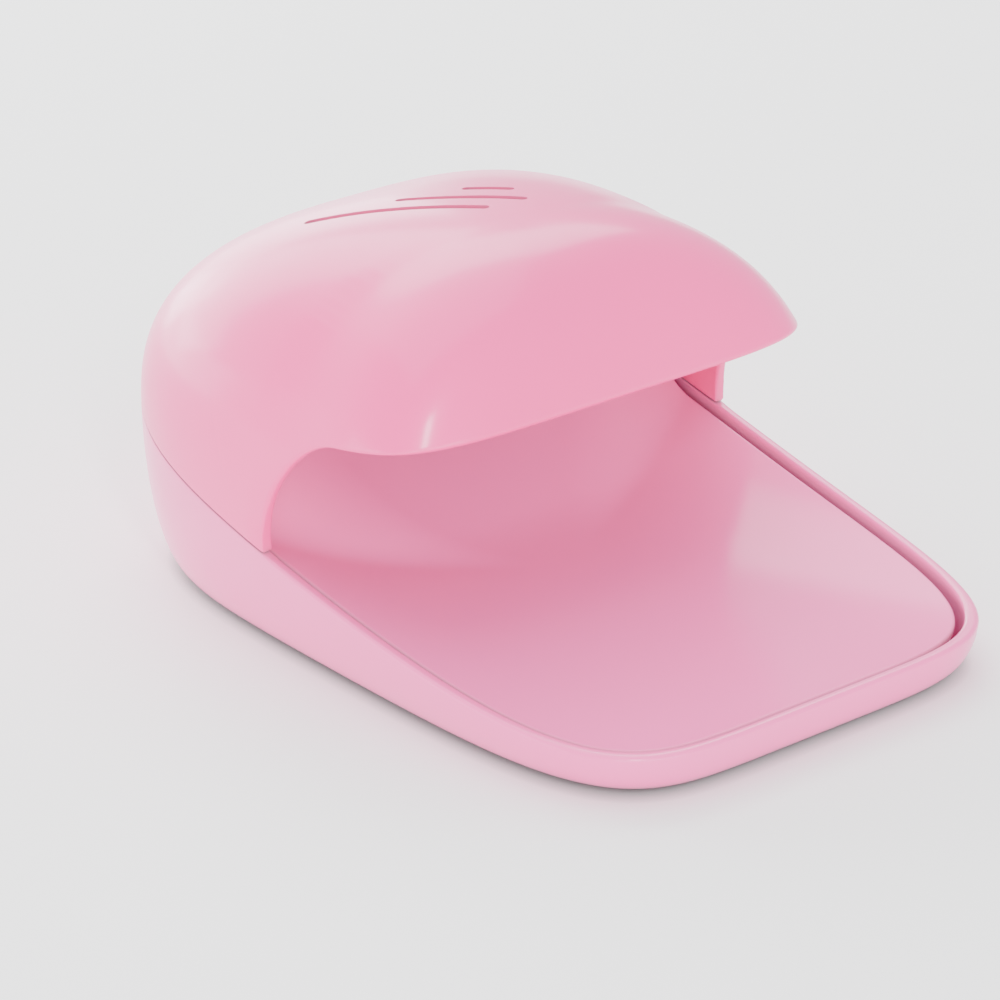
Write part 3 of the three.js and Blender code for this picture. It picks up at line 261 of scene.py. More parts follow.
class CasingShape:
    """The casing's surfaces as formulas of the sizes in the panel."""

    def __init__(self, sizes):
        self.half = sizes.width / 2
        self.length = sizes.length
        self.height = sizes.height
        self.wall = sizes.wall
        self.seam_gap = sizes.seam_gap
        self.front = -sizes.length / 2
        self.back = sizes.length / 2
        self.widest = self.back - WIDEST_FROM_BACK
        self.crown = self.back - CROWN_FROM_BACK
        self.post = self.back - POST_FROM_BACK
        self.lip = self.height - LIP_DROP
        self.hinge = self.back - HINGE_FROM_BACK
        self.fan = self.back - FAN_FROM_BACK
        self.plate_middle = self.back - PLATE_MIDDLE_FROM_BACK
        self.plate_top = self.height - PLATE_TOP_DROP
        self.plate_gap = sizes.plate_gap
        self.plate_thickness = sizes.plate_thickness

    def plan(self, angle, half, front_reach, back_reach, front_power, back_power, taper=0.0):
        """A superellipse in two halves: sin and cos to the power 2 / n, narrowed towards the front.

        The angle is 0 at the front, a quarter turn at the right and half a turn at the back.
        """
        forward, sideways = np.cos(angle), np.sin(angle)
        is_front = forward >= 0
        power = np.where(is_front, front_power, back_power)
        along = np.abs(forward) ** (2 / power)
        narrowing = np.where(is_front, 1 - taper * along**TAPER_POWER, 1.0)
        x = signed_power(sideways, 2 / power) * narrowing * half
        y = np.where(is_front, self.widest - front_reach * along, self.widest + back_reach * along)
        return x, y

    def rim_plan(self, angle, inset):
        """The rim's outline, set in by inset."""
        reach = self.widest - self.front
        return self.plan(
            angle, self.half - inset, reach - inset, self.back - self.widest - inset,
            FRONT_POWER, BACK_POWER, FRONT_TAPER,
        )

    def footprint_plan(self, angle, inset):
        """The outline of the flat underside, set in by inset."""
        reach = self.widest - self.front - FRONT_TUCK
        return self.plan(
            angle, self.half - SIDE_TUCK - inset, reach - inset,
            self.back - self.widest - BACK_TUCK - inset, FRONT_POWER, BACK_POWER, FRONT_TAPER,
        )

    def rim_height(self, y):
        """The rim climbs from front to back as the distance to the power 1.62."""
        share = np.clip((y - self.front) / self.length, 0, None)
        return RIM_FRONT + (RIM_BACK - RIM_FRONT) * share**RIM_POWER

    def tray_point(self, angle, rise, inset):
        """The tray's wall: a quarter ellipse from the footprint, rise 0, to the rim, rise 1."""
        rim_x, rim_y = self.rim_plan(angle, inset)
        foot_x, foot_y = self.footprint_plan(angle, inset)
        top = self.rim_height(rim_y)
        tuck = 1 - np.sqrt(np.clip(1 - (1 - rise) ** 2, 0, 1))
        return points(mix(rim_x, foot_x, tuck), mix(rim_y, foot_y, tuck), mix(UNDERSIDE, top, rise))

    def hood_point(self, angle, rise, inset):
        """The dome: the seam's outline drawn in towards the crown by cos and lifted by sin.

        Both have their own power at the back and at the front, and the outline loses its square
        front corners on the way up.
        """
        turned = smooth((1 + np.cos(angle)) / 2)
        flattened = (1 - rise) ** VISOR_BLEND_POWER
        power = VISOR_CROWN_POWER + (VISOR_SEAM_POWER - VISOR_CROWN_POWER) * flattened
        reaches = (self.half - inset, VISOR_REACH - inset, self.back - self.widest - inset)
        x, y = self.plan(angle, *reaches, power, BACK_POWER)
        seam_y = self.plan(angle, *reaches, VISOR_SEAM_POWER, BACK_POWER)[1]
        climb = rise * math.pi / 2
        drawn = np.clip(np.cos(climb), 0, 1) ** (2 / mix(*SIDE_ROUND, turned))
        lift = np.clip(np.sin(climb), 0, 1) ** (2 / mix(*CROWN_ROUND, turned))
        seam_z = self.rim_height(seam_y)
        return points(
            x * drawn,
            self.crown + (y - self.crown) * drawn,
            seam_z + (self.height - inset - seam_z) * lift,
        )

    def column_angle(self, turn, rise):
        """Columns lean back as they climb, so that they cross the mouth's edge at a good angle."""
        return turn - COLUMN_LEAN * np.sin(turn) * (1 - rise)

    def mouth_height(self, y):
        """The mouth's upper edge: up the post, round a quarter ellipse, then along to the lip."""
        reach = np.clip((self.post - y) / ARCH_REACH, 0, 1)
        arch = np.sqrt(np.clip(1 - (1 - reach) ** 2, 0, 1))
        past_post = np.clip(self.post - y, 0, None)
        return POST_TOP + (self.lip - POST_TOP) * arch**ARCH_POWER + LIP_SLOPE * past_post

    def is_kept(self, y, z):
        """True for points of the dome that neither the mouth nor the seam takes away."""
        over_seam = z > self.rim_height(y) + self.seam_gap
        return over_seam & ((y > self.post) | (z > self.mouth_height(y)))

    def edge_rise(self, turn, inset):
        """The rise at which each leaning column comes out of the mouth or the seam, by halving."""
        low, high = np.zeros_like(turn), np.ones_like(turn)
        for _ in range(44):
            middle = (low + high) / 2
            spot = self.hood_point(self.column_angle(turn, middle), middle, inset)
            kept = self.is_kept(spot[..., 1], spot[..., 2])
            high, low = np.where(kept, middle, high), np.where(kept, low, middle)
        return high

    def edge_point(self, turn, inset):
        """The mouth's or the seam's edge in each leaning column."""
        rise = self.edge_rise(turn, inset)
        return self.hood_point(self.column_angle(turn, rise), rise, inset)

    def plate_base(self, y):
        """Height of the plate's shallow floor, which slopes up a little towards the back."""
        return PLATE_FLOOR + PLATE_SLOPE * (y - self.front)

    def plate_edge(self, angle):
        """The plate's edge: just under the rim along the tray, and up under the hood at the back."""
        x, y = self.plan(
            angle, self.half - self.wall - self.plate_gap,
            self.widest - self.front - self.wall - self.plate_gap, PLATE_BACK_REACH,
            FRONT_POWER, PLATE_BACK_POWER, FRONT_TAPER,
        )
        behind = np.arcsin(np.clip(-np.cos(angle), 0, 1))
        risen = smooth(behind / PLATE_RISE_ANGLE)
        return points(x, y, mix(self.rim_height(y) - PLATE_RECESS, self.plate_top, risen))

    def plate_point(self, angle, share):
        """The scoop: from the middle out to the edge, the height grows as the cube of the share."""
        edge = self.plate_edge(angle)
        y = mix(self.plate_middle, edge[..., 1], share)
        lift = (edge[..., 2] - self.plate_base(edge[..., 1])) * share**PLATE_CURVE_POWER
        return points(edge[..., 0] * share, y, self.plate_base(y) + lift)

    def plate_under(self, angle, share, depth):
        """The scoop set down by depth along its own normal, from small differences."""
        step = 0.001
        inner = np.clip(share, step * 2, None)
        along = self.plate_point(angle, inner + step) - self.plate_point(angle, inner - step)
        around = self.plate_point(angle + step, inner) - self.plate_point(angle - step, inner)
        normal = np.cross(along, around)
        normal /= np.linalg.norm(normal, axis=-1, keepdims=True)
        return self.plate_point(angle, share) - normal * np.asarray(depth)[..., None]


def full_turn(curve, count):
    """Angles round the whole outline that space curve(angle) evenly, the same on both sides."""
    share = np.linspace(0, 1, 6001)
    quarter = share**4 / (share**4 + (1 - share) ** 4) * math.pi / 2
    dense = np.concatenate([quarter, math.pi / 2 + quarter[1:]])
    steps = np.linalg.norm(np.diff(curve(dense), axis=0), axis=-1)
    run = np.concatenate([[0], np.cumsum(steps)])
    right = np.interp(np.linspace(0, run[-1], count // 2 + 1), run, dense)
    return np.concatenate([right, 2 * math.pi - right[-2:0:-1]])


def ring_solid(rings, first=None, last=None):
    """A closed surface through rings of points, each ring anticlockwise from the way they advance.

    A first or last point closes its end as a pole. With neither, the last ring joins the first.
    """
    rings = np.asarray(rings, float)
    rows, columns = rings.shape[:2]
    vertices = rings.reshape(-1, 3)
    wrap = first is None and last is None
    row = np.arange(rows if wrap else rows - 1)[:, None]
    column = np.arange(columns)[None, :]
    here, above = row * columns, (row + 1) % rows * columns
    side = (column + 1) % columns
    quads = np.stack([here + column, here + side, above + side, above + column], -1).reshape(-1, 4)
    triangles = []
    loop, turned = np.arange(columns), (np.arange(columns) + 1) % columns
    if first is not None:
        pole = np.full(columns, len(vertices))
        vertices = np.vstack([vertices, np.reshape(first, (1, 3))])
        triangles.append(np.stack([pole, turned, loop], -1))
    if last is not None:
        pole = np.full(columns, len(vertices))
        vertices = np.vstack([vertices, np.reshape(last, (1, 3))])
        start = (rows - 1) * columns
        triangles.append(np.stack([start + loop, start + turned, pole], -1))
    triangles = np.vstack(triangles) if triangles else np.zeros((0, 3), int)
    return vertices, quads, triangles


def block_solid(x0, x1, y0, y1, z0, z1):
    """A box from its six bounds."""
    ring = np.array([[x0, y0], [x1, y0], [x1, y1], [x0, y1]], float)
    low = np.column_stack([ring, np.full(4, z0)])
    high = np.column_stack([ring, np.full(4, z1)])
    quads = [[0, 1, 5, 4], [1, 2, 6, 5], [2, 3, 7, 6], [3, 0, 4, 7], [3, 2, 1, 0], [4, 5, 6, 7]]
    return np.vstack([low, high]), np.array(quads), np.zeros((0, 3), int)


def filleted(outline, radius, steps=5):
    """An open outline of [radius, height] pairs with each inner corner rounded by an arc.

    The arc is the curve of second degree through the corner, cut back by radius or by less
    where an edge is short.
    """
    outline = np.asarray(outline, float)
    before, corner, after = outline[:-2], outline[1:-1], outline[2:]
    back, ahead = before - corner, after - corner
    back_run = np.linalg.norm(back, axis=-1, keepdims=True)
    ahead_run = np.linalg.norm(ahead, axis=-1, keepdims=True)
    cut = np.minimum(radius, np.minimum(back_run, ahead_run) * 0.45)
    start, end = corner + back / back_run * cut, corner + ahead / ahead_run * cut
    t = np.linspace(0, 1, steps + 1)[None, :, None]
    arcs = (1 - t) ** 2 * start[:, None] + 2 * t * (1 - t) * corner[:, None] + t**2 * end[:, None]
    return np.vstack([outline[:1], arcs.reshape(-1, 2), outline[-1:]])


def turned_solid(outline, centre, segments=64, axis="Z"):
    """An outline of [radius, height] pairs spun about an axis through centre.

    It runs from the bottom of the axis out and up to its top, or closes on itself as a ring.
    """
    outline = np.asarray(outline, float)
    closed = outline[0, 0] > 0
    angle = np.linspace(0, 2 * math.pi, segments, endpoint=False)
    body = outline if closed else outline[1:-1]
    rings = points(
        body[:, :1] * np.cos(angle), body[:, :1] * np.sin(angle), np.repeat(body[:, 1:], segments, 1)
    )
    ends = (None, None) if closed else ([0, 0, outline[0, 1]], [0, 0, outline[-1, 1]])
    vertices, quads, triangles = ring_solid(rings, *ends)
    if axis == "X":
        vertices = vertices[:, [2, 0, 1]]
    return vertices + np.asarray(centre, float), quads, triangles


def upright_solid(radius, x, y, z0, z1, segments=40):
    """An upright round bar."""
    return turned_solid([[0, z0], [radius, z0], [radius, z1], [0, z1]], (x, y, 0), segments)


def lying_solid(radius, x0, x1, y, z, segments=32):
    """A round bar along X."""
    return turned_solid([[0, x0], [radius, x0], [radius, x1], [0, x1]], (0, y, z), segments, "X")


def crosswise_solid(outline, x0, x1):
    """An outline in Y and Z, anticlockwise seen from +X, carried along X."""
    outline = np.asarray(outline, float)
    rings = [np.column_stack([np.full(len(outline), x), outline]) for x in (x0, x1)]
    middle = outline.mean(0)
    return ring_solid(rings, [x0, *middle], [x1, *middle])


def tube_solid(path, radius, sides=12):
    """A round wire along a path of points: a circle in the plane across the path at each point.

    The circle's first direction is the path's own outward one, from the middle of the coil.
    """
    path = np.asarray(path, float)
    tangent = np.gradient(path, axis=0)
    tangent /= np.linalg.norm(tangent, axis=-1, keepdims=True)
    outward = path - path.mean(0)
    outward[:, 2] = 0
    outward -= tangent * np.sum(outward * tangent, -1, keepdims=True)
    outward /= np.linalg.norm(outward, axis=-1, keepdims=True)
    across = np.cross(tangent, outward)
    angle = np.linspace(0, 2 * math.pi, sides, endpoint=False)[None, :, None]
    rings = path[:, None] + radius * (np.cos(angle) * outward[:, None] + np.sin(angle) * across[:, None])
    return ring_solid(rings, path[0], path[-1])


def joined(solids):
    """Several solids as one set of vertices and faces."""
    vertices, quads, triangles, start = [], [], [], 0
    for solid in solids:
        vertices.append(solid[0])
        quads.append(solid[1] + start)
        triangles.append(solid[2] + start)
        start += len(solid[0])
    return np.vstack(vertices), np.vstack(quads), np.vstack(triangles)


def new_object(name, solids):
    """A mesh object at the origin from solids."""
    vertices, quads, triangles = joined(solids)
    mesh = bpy.data.meshes.new(name)
    mesh.vertices.add(len(vertices))
    mesh.vertices.foreach_set("co", vertices.astype(np.float32).ravel())
    corners = np.concatenate([quads.ravel(), triangles.ravel()]).astype(np.int32)
    starts = np.concatenate([
        np.arange(len(quads)) * 4, len(quads) * 4 + np.arange(len(triangles)) * 3,
    ]).astype(np.int32)
    mesh.loops.add(len(corners))
    mesh.loops.foreach_set("vertex_index", corners)
    mesh.polygons.add(len(starts))
    mesh.polygons.foreach_set("loop_start", starts)
    mesh.update(calc_edges=True)
    obj = bpy.data.objects.new(name, mesh)
    bpy.context.scene.collection.objects.link(obj)
    return obj


def settle(obj):
    """Writes an object's modifiers into its mesh."""
    bpy.context.view_layer.update()
    graph = bpy.context.evaluated_depsgraph_get()
    mesh = bpy.data.meshes.new_from_object(obj.evaluated_get(graph))
    obj.modifiers.clear()
    old, obj.data = obj.data, mesh
    bpy.data.meshes.remove(old)
    mesh.name = obj.name
    return obj


def merge(obj, tool, operation="UNION"):
    """Joins a second object to an object, cuts it away or keeps what they share, and removes it."""
    modifier = obj.modifiers.new("combine", "BOOLEAN")
    modifier.operation = operation
    modifier.solver = "MANIFOLD"
    modifier.object = tool
    settle(obj)
    data = tool.data
    bpy.data.objects.remove(tool)
    bpy.data.meshes.remove(data)
    if not len(obj.data.polygons):
        raise RuntimeError(f"{operation} left {obj.name} empty")
    return obj


def combine(obj, operation, solids):
    """Joins solids to an object, cuts them from it, or keeps only what they share with it."""
    if not len(obj.data.polygons):
        raise RuntimeError(f"{obj.name} has no faces left")
    return merge(obj, new_object(obj.name + "_tool", solids), operation)


def rounded_edges(obj, width, segments=3, angle=35):
    """Rounds the sharp edges of an object with a bevel."""
    modifier = obj.modifiers.new("round", "BEVEL")
    modifier.width = width
    modifier.segments = segments
    modifier.limit_method = "ANGLE"
    modifier.angle_limit = math.radians(angle)
    modifier.use_clamp_overlap = True
    return settle(obj)


def cleaned(obj, reach=0.0002 * MM):
    """Takes out the slivers that cutting leaves, whose corners lie closer together than reach."""
    mesh = bmesh.new()
    mesh.from_mesh(obj.data)
    bmesh.ops.remove_doubles(mesh, verts=mesh.verts, dist=reach)
    bmesh.ops.dissolve_degenerate(mesh, edges=mesh.edges, dist=reach)
    mesh.to_mesh(obj.data)
    mesh.free()
    return obj


def shaded(obj, angle=32):
    """Smooth shading that keeps edges sharper than angle."""
    obj.data.polygons.foreach_set("use_smooth", np.ones(len(obj.data.polygons), bool))
    obj.data.set_sharp_from_angle(angle=math.radians(angle))
    return obj


def place_piece(obj, material, body, slot, *nodes):
    """Gives a finished piece its material and body, and hides the solids that it stands for; the finish
    slot is not used.
    """
    obj.data.materials.clear()
    obj.data.materials.append(material)
    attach(obj, body)
    if nodes:
        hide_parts(*nodes)
    return obj


class NodeSheet:
    """Short calls for adding and joining shader nodes."""

    def __init__(self, tree):
        self.tree = tree

    def add(self, kind, **settings):
        """A node of a kind; settings are its attributes, or its inputs where the name has one."""
        node = self.tree.nodes.new(kind)
        for key, value in settings.items():
            if key in node.inputs:
                node.inputs[key].default_value = value
            else:
                setattr(node, key, value)
        return node

    def join(self, output, target):
        """A link from an output to an input."""
        self.tree.links.new(output, target)


def effect_group(name, inputs, outputs):
    """An empty shader node group with named sockets; returns its sheet, input and output nodes."""
    group = bpy.data.node_groups.new(name, "ShaderNodeTree")
    for label, kind, default in inputs:
        socket = group.interface.new_socket(name=label, in_out="INPUT", socket_type=kind)
        if default is not None:
            socket.default_value = default
    for label, kind in outputs:
        group.interface.new_socket(name=label, in_out="OUTPUT", socket_type=kind)
    sheet = NodeSheet(group)
    return sheet, sheet.add("NodeGroupInput"), sheet.add("NodeGroupOutput")


def moulded_skin_group():
    """Height of a polished mould's skin: faint orange peel, with finer grain laid over it."""
    name = "moulded skin"
    if name in bpy.data.node_groups:
        return bpy.data.node_groups[name]
    sheet, inlet, outlet = effect_group(
        name,
        [("Vector", "NodeSocketVector", None), ("Peel Scale", "NodeSocketFloat", 420.0),
         ("Grain Scale", "NodeSocketFloat", 5200.0), ("Grain Share", "NodeSocketFloat", 0.25)],
        [("Height", "NodeSocketFloat")],
    )
    peel = sheet.add("ShaderNodeTexNoise", Detail=2.0, Roughness=0.4)
    grain = sheet.add("ShaderNodeTexNoise", Detail=3.0, Roughness=0.6)
    blend = sheet.add("ShaderNodeMix", data_type="FLOAT")
    sheet.join(inlet.outputs["Vector"], peel.inputs["Vector"])
    sheet.join(inlet.outputs["Peel Scale"], peel.inputs["Scale"])
    sheet.join(inlet.outputs["Vector"], grain.inputs["Vector"])
    sheet.join(inlet.outputs["Grain Scale"], grain.inputs["Scale"])
    sheet.join(inlet.outputs["Grain Share"], blend.inputs["Factor"])
    sheet.join(peel.outputs["Fac"], blend.inputs["A"])
    sheet.join(grain.outputs["Fac"], blend.inputs["B"])
    sheet.join(blend.outputs["Result"], outlet.inputs["Height"])
    return sheet.tree


def colour_drift_group():
    """A colour that drifts a little lighter and darker over the surface, in clouds."""
    name = "colour drift"
    if name in bpy.data.node_groups:
        return bpy.data.node_groups[name]
    sheet, inlet, outlet = effect_group(
        name,
        [("Vector", "NodeSocketVector", None), ("Colour", "NodeSocketColor", (0.8, 0.8, 0.8, 1)),
         ("Cloud Scale", "NodeSocketFloat", 30.0), ("Drift", "NodeSocketFloat", 0.04)],
        [("Colour", "NodeSocketColor")],
    )
    cloud = sheet.add("ShaderNodeTexNoise", Detail=4.0, Roughness=0.55)
    centred = sheet.add("ShaderNodeMath", operation="SUBTRACT")
    centred.inputs[1].default_value = 0.5
    scaled = sheet.add("ShaderNodeMath", operation="MULTIPLY")
    around = sheet.add("ShaderNodeMath", operation="ADD")
    around.inputs[1].default_value = 1.0
    tint = sheet.add("ShaderNodeHueSaturation")
    sheet.join(inlet.outputs["Vector"], cloud.inputs["Vector"])
    sheet.join(inlet.outputs["Cloud Scale"], cloud.inputs["Scale"])
    sheet.join(cloud.outputs["Fac"], centred.inputs[0])
    sheet.join(centred.outputs["Value"], scaled.inputs[0])
    sheet.join(inlet.outputs["Drift"], scaled.inputs[1])
    sheet.join(scaled.outputs["Value"], around.inputs[0])
    sheet.join(around.outputs["Value"], tint.inputs["Value"])
    sheet.join(inlet.outputs["Colour"], tint.inputs["Color"])
    sheet.join(tint.outputs["Color"], outlet.inputs["Colour"])
    return sheet.tree


def painted_hollow_shade_group():
    """A colour painted darker and greyer where the surface closes in to a narrow hollow: painted shade in
    slots, seams and gaps.
    """
    name = "dusty hollow"
    if name in bpy.data.node_groups:
        return bpy.data.node_groups[name]
    sheet, inlet, outlet = effect_group(
        name,
        [("Colour", "NodeSocketColor", (0.8, 0.8, 0.8, 1)), ("Reach", "NodeSocketFloat", 2.5 * MM),
         ("Keep", "NodeSocketFloat", 0.45)],
        [("Colour", "NodeSocketColor")],
    )
    # Ambient occlusion finds the narrow hollows; the darker, greyer colour there is painted shade.
    hollow = sheet.add("ShaderNodeAmbientOcclusion", samples=8)
    shade_tint = sheet.add("ShaderNodeHueSaturation")
    blend = sheet.add("ShaderNodeMix", data_type="RGBA")
    colour_a, colour_b, colour_out = blend.inputs[6], blend.inputs[7], blend.outputs[2]
    sheet.join(inlet.outputs["Reach"], hollow.inputs["Distance"])
    sheet.join(inlet.outputs["Keep"], shade_tint.inputs["Saturation"])
    sheet.join(inlet.outputs["Keep"], shade_tint.inputs["Value"])
    sheet.join(inlet.outputs["Colour"], shade_tint.inputs["Color"])
    sheet.join(hollow.outputs["AO"], blend.inputs["Factor"])
    sheet.join(shade_tint.outputs["Color"], colour_a)
    sheet.join(inlet.outputs["Colour"], colour_b)
    sheet.join(colour_out, outlet.inputs["Colour"])
    return sheet.tree


def handled_gloss_group():
    """A roughness that finger marks raise in soft patches and fine rubbing lines raise a little."""
    name = "handled gloss"
    if name in bpy.data.node_groups:
        return bpy.data.node_groups[name]
    sheet, inlet, outlet = effect_group(
        name,
        [("Vector", "NodeSocketVector", None), ("Roughness", "NodeSocketFloat", 0.3),
         ("Marks", "NodeSocketFloat", 0.05)],
        [("Roughness", "NodeSocketFloat")],
    )
    patches = sheet.add("ShaderNodeTexNoise", Scale=70.0, Detail=5.0, Roughness=0.6, Distortion=0.4)
    lines = sheet.add("ShaderNodeTexWave", Scale=160.0, Distortion=9.0, Detail=3.0)
    shape = sheet.add("ShaderNodeMapRange")
    shape.inputs["From Min"].default_value = 0.42
    shape.inputs["From Max"].default_value = 0.72
    product = sheet.add("ShaderNodeMath", operation="MULTIPLY_ADD")
    product.inputs[1].default_value = 0.25
    amount = sheet.add("ShaderNodeMath", operation="MULTIPLY")
    total = sheet.add("ShaderNodeMath", operation="ADD")
    sheet.join(inlet.outputs["Vector"], patches.inputs["Vector"])
    sheet.join(inlet.outputs["Vector"], lines.inputs["Vector"])
    sheet.join(patches.outputs["Fac"], shape.inputs["Value"])
    sheet.join(lines.outputs["Fac"], product.inputs[0])
    sheet.join(shape.outputs["Result"], product.inputs[2])
    sheet.join(product.outputs["Value"], amount.inputs[0])
    sheet.join(inlet.outputs["Marks"], amount.inputs[1])
    sheet.join(amount.outputs["Value"], total.inputs[0])
    sheet.join(inlet.outputs["Roughness"], total.inputs[1])
    sheet.join(total.outputs["Value"], outlet.inputs["Roughness"])
    return sheet.tree


def drawn_metal_group():
    """Fine lines round or along drawn metal, as a height and a lift in roughness."""
    name = "drawn metal"
    if name in bpy.data.node_groups:
        return bpy.data.node_groups[name]
    sheet, inlet, outlet = effect_group(
        name,
        [("Vector", "NodeSocketVector", None), ("Roughness", "NodeSocketFloat", 0.3),
         ("Line Depth", "NodeSocketFloat", 0.1)],
        [("Height", "NodeSocketFloat"), ("Roughness", "NodeSocketFloat")],
    )
    stretch = sheet.add("ShaderNodeMapping")
    stretch.inputs["Scale"].default_value = (1.0, 1.0, 22.0)
    lines = sheet.add("ShaderNodeTexNoise", Scale=700.0, Detail=4.0, Roughness=0.6)
    lift = sheet.add("ShaderNodeMath", operation="MULTIPLY_ADD")
    sheet.join(inlet.outputs["Vector"], stretch.inputs["Vector"])
    sheet.join(stretch.outputs["Vector"], lines.inputs["Vector"])
    sheet.join(lines.outputs["Fac"], lift.inputs[0])
    sheet.join(inlet.outputs["Line Depth"], lift.inputs[1])
    sheet.join(inlet.outputs["Roughness"], lift.inputs[2])
    sheet.join(lines.outputs["Fac"], outlet.inputs["Height"])
    sheet.join(lift.outputs["Value"], outlet.inputs["Roughness"])
    return sheet.tree


def group_node(sheet, tree, **values):
    """A node that holds a group, with its own values."""
    node = sheet.add("ShaderNodeGroup")
    node.node_tree = tree
    for label, value in values.items():
        node.inputs[label.replace("_", " ")].default_value = value
    return node


def start_material(name):
    """A new material with its sheet, Principled shader and Object coordinates."""
    material = bpy.data.materials.new(name)
    material.use_nodes = True
    material.node_tree.nodes.clear()
    sheet = NodeSheet(material.node_tree)
    shader = sheet.add("ShaderNodeBsdfPrincipled")
    surface = sheet.add("ShaderNodeOutputMaterial")
    sheet.join(shader.outputs["BSDF"], surface.inputs["Surface"])
    return material, sheet, shader, sheet.add("ShaderNodeTexCoord").outputs["Object"]


def plastic_material(
        name, colour, roughness, coat=0.0, drift=0.05, marks=0.05, peel=190.0, relief=0.25, shine=0.3):
    """Moulded plastic: a drifting colour with painted shade in hollows, handled gloss, a clear skin and a
    peel.
    """
    if name in bpy.data.materials:
        return bpy.data.materials[name]
    material, sheet, shader, spot = start_material(name)
    colours = group_node(sheet, colour_drift_group(), Colour=(*colour, 1), Cloud_Scale=26.0, Drift=drift)
    gloss = group_node(sheet, handled_gloss_group(), Roughness=roughness, Marks=marks)
    skin = group_node(sheet, moulded_skin_group(), Peel_Scale=peel)
    bump = sheet.add("ShaderNodeBump", Strength=relief, Distance=0.00004)
    for node in (colours, gloss, skin):
        sheet.join(spot, node.inputs["Vector"])
    # Painted shade: the colour goes darker and greyer in narrow hollows.
    hollow_shade = group_node(sheet, painted_hollow_shade_group(), Reach=2.5 * MM)
    sheet.join(colours.outputs["Colour"], hollow_shade.inputs["Colour"])
    sheet.join(hollow_shade.outputs["Colour"], shader.inputs["Base Color"])
    sheet.join(gloss.outputs["Roughness"], shader.inputs["Roughness"])
    sheet.join(skin.outputs["Height"], bump.inputs["Height"])
    sheet.join(bump.outputs["Normal"], shader.inputs["Normal"])
    shader.inputs["IOR"].default_value = 1.5
    shader.inputs["Specular IOR Level"].default_value = shine
    shader.inputs["Coat Weight"].default_value = coat
    shader.inputs["Coat Roughness"].default_value = 0.16
    return material


def metal_material(name, colour, roughness, line_depth=0.12):
    """Drawn or plated metal with fine lines."""
    if name in bpy.data.materials:
        return bpy.data.materials[name]
    material, sheet, shader, spot = start_material(name)
    colours = group_node(sheet, colour_drift_group(), Colour=(*colour, 1), Cloud_Scale=160.0, Drift=0.12)
    drawn = group_node(sheet, drawn_metal_group(), Roughness=roughness, Line_Depth=line_depth)
    bump = sheet.add("ShaderNodeBump", Strength=0.12, Distance=0.0001)
    for node in (colours, drawn):
        sheet.join(spot, node.inputs["Vector"])
    sheet.join(colours.outputs["Colour"], shader.inputs["Base Color"])
    sheet.join(drawn.outputs["Roughness"], shader.inputs["Roughness"])
    sheet.join(drawn.outputs["Height"], bump.inputs["Height"])
    sheet.join(bump.outputs["Normal"], shader.inputs["Normal"])
    shader.inputs["Metallic"].default_value = 1.0
    return material


def casing_plastic():
    """Glossy pale pink of the hood."""
    finish = bpy.context.scene.dryer_finishes
    return plastic_material("casing plastic", finish.casing_colour, finish.casing_roughness, coat=0.47)


def tray_plastic():
    """The slightly paler pink of the tray and the battery door."""
    finish = bpy.context.scene.dryer_finishes
    return plastic_material("tray plastic", finish.tray_colour, finish.casing_roughness, coat=0.55)


def plate_plastic():
    """Polished pink of the press plate."""
    finish = bpy.context.scene.dryer_finishes
    return plastic_material("plate plastic", finish.plate_colour, finish.plate_roughness, shine=0.15)


def shroud_shaded_plastic():
    """Satin pink of the ceiling, grille and cradle, painted darker than the hood's pink as shade under the
    hood.
    """
    finish = bpy.context.scene.dryer_finishes
    return plastic_material("shroud plastic", finish.shroud_shade_colour, 0.42, relief=0.6)


def fan_plastic():
    """Natural white of the fan and the switch's plunger."""
    finish = bpy.context.scene.dryer_finishes
    return plastic_material("fan plastic", finish.fan_colour, 0.4, relief=0.5)


def foot_rubber():
    """Soft grey rubber with a fine matt grain."""
    finish = bpy.context.scene.dryer_finishes
    return plastic_material(
        "foot rubber", finish.rubber_colour, 0.78, drift=0.14, peel=2600.0, relief=1.0)


def cell_sleeve():
    """Plain printed film round a cell."""
    finish = bpy.context.scene.dryer_finishes
    return plastic_material("cell sleeve", finish.sleeve_colour, 0.32, coat=0.2, drift=0.08)


def zinc_steel():
    """Bright zinc plated steel."""
    return metal_material("zinc steel", (0.56, 0.57, 0.60), 0.26)


def length_setting(label, about, default, least):
    """A length in the panel."""
    return FloatProperty(name=label, description=about, unit="LENGTH", default=default, min=least)


def colour_setting(label, about, default):
    """A colour in the panel."""
    return FloatVectorProperty(
        name=label, description=about, subtype="COLOR", size=3, default=default, min=0, max=1)


def roughness_setting(label, about, default):
    """A roughness in the panel."""
    return FloatProperty(name=label, description=about, subtype="FACTOR", default=default, min=0, max=1)


def power_setting(label, about, default):
    """The power of a light in the panel."""
    return FloatProperty(name=label, description=about, unit="POWER", default=default, min=0)


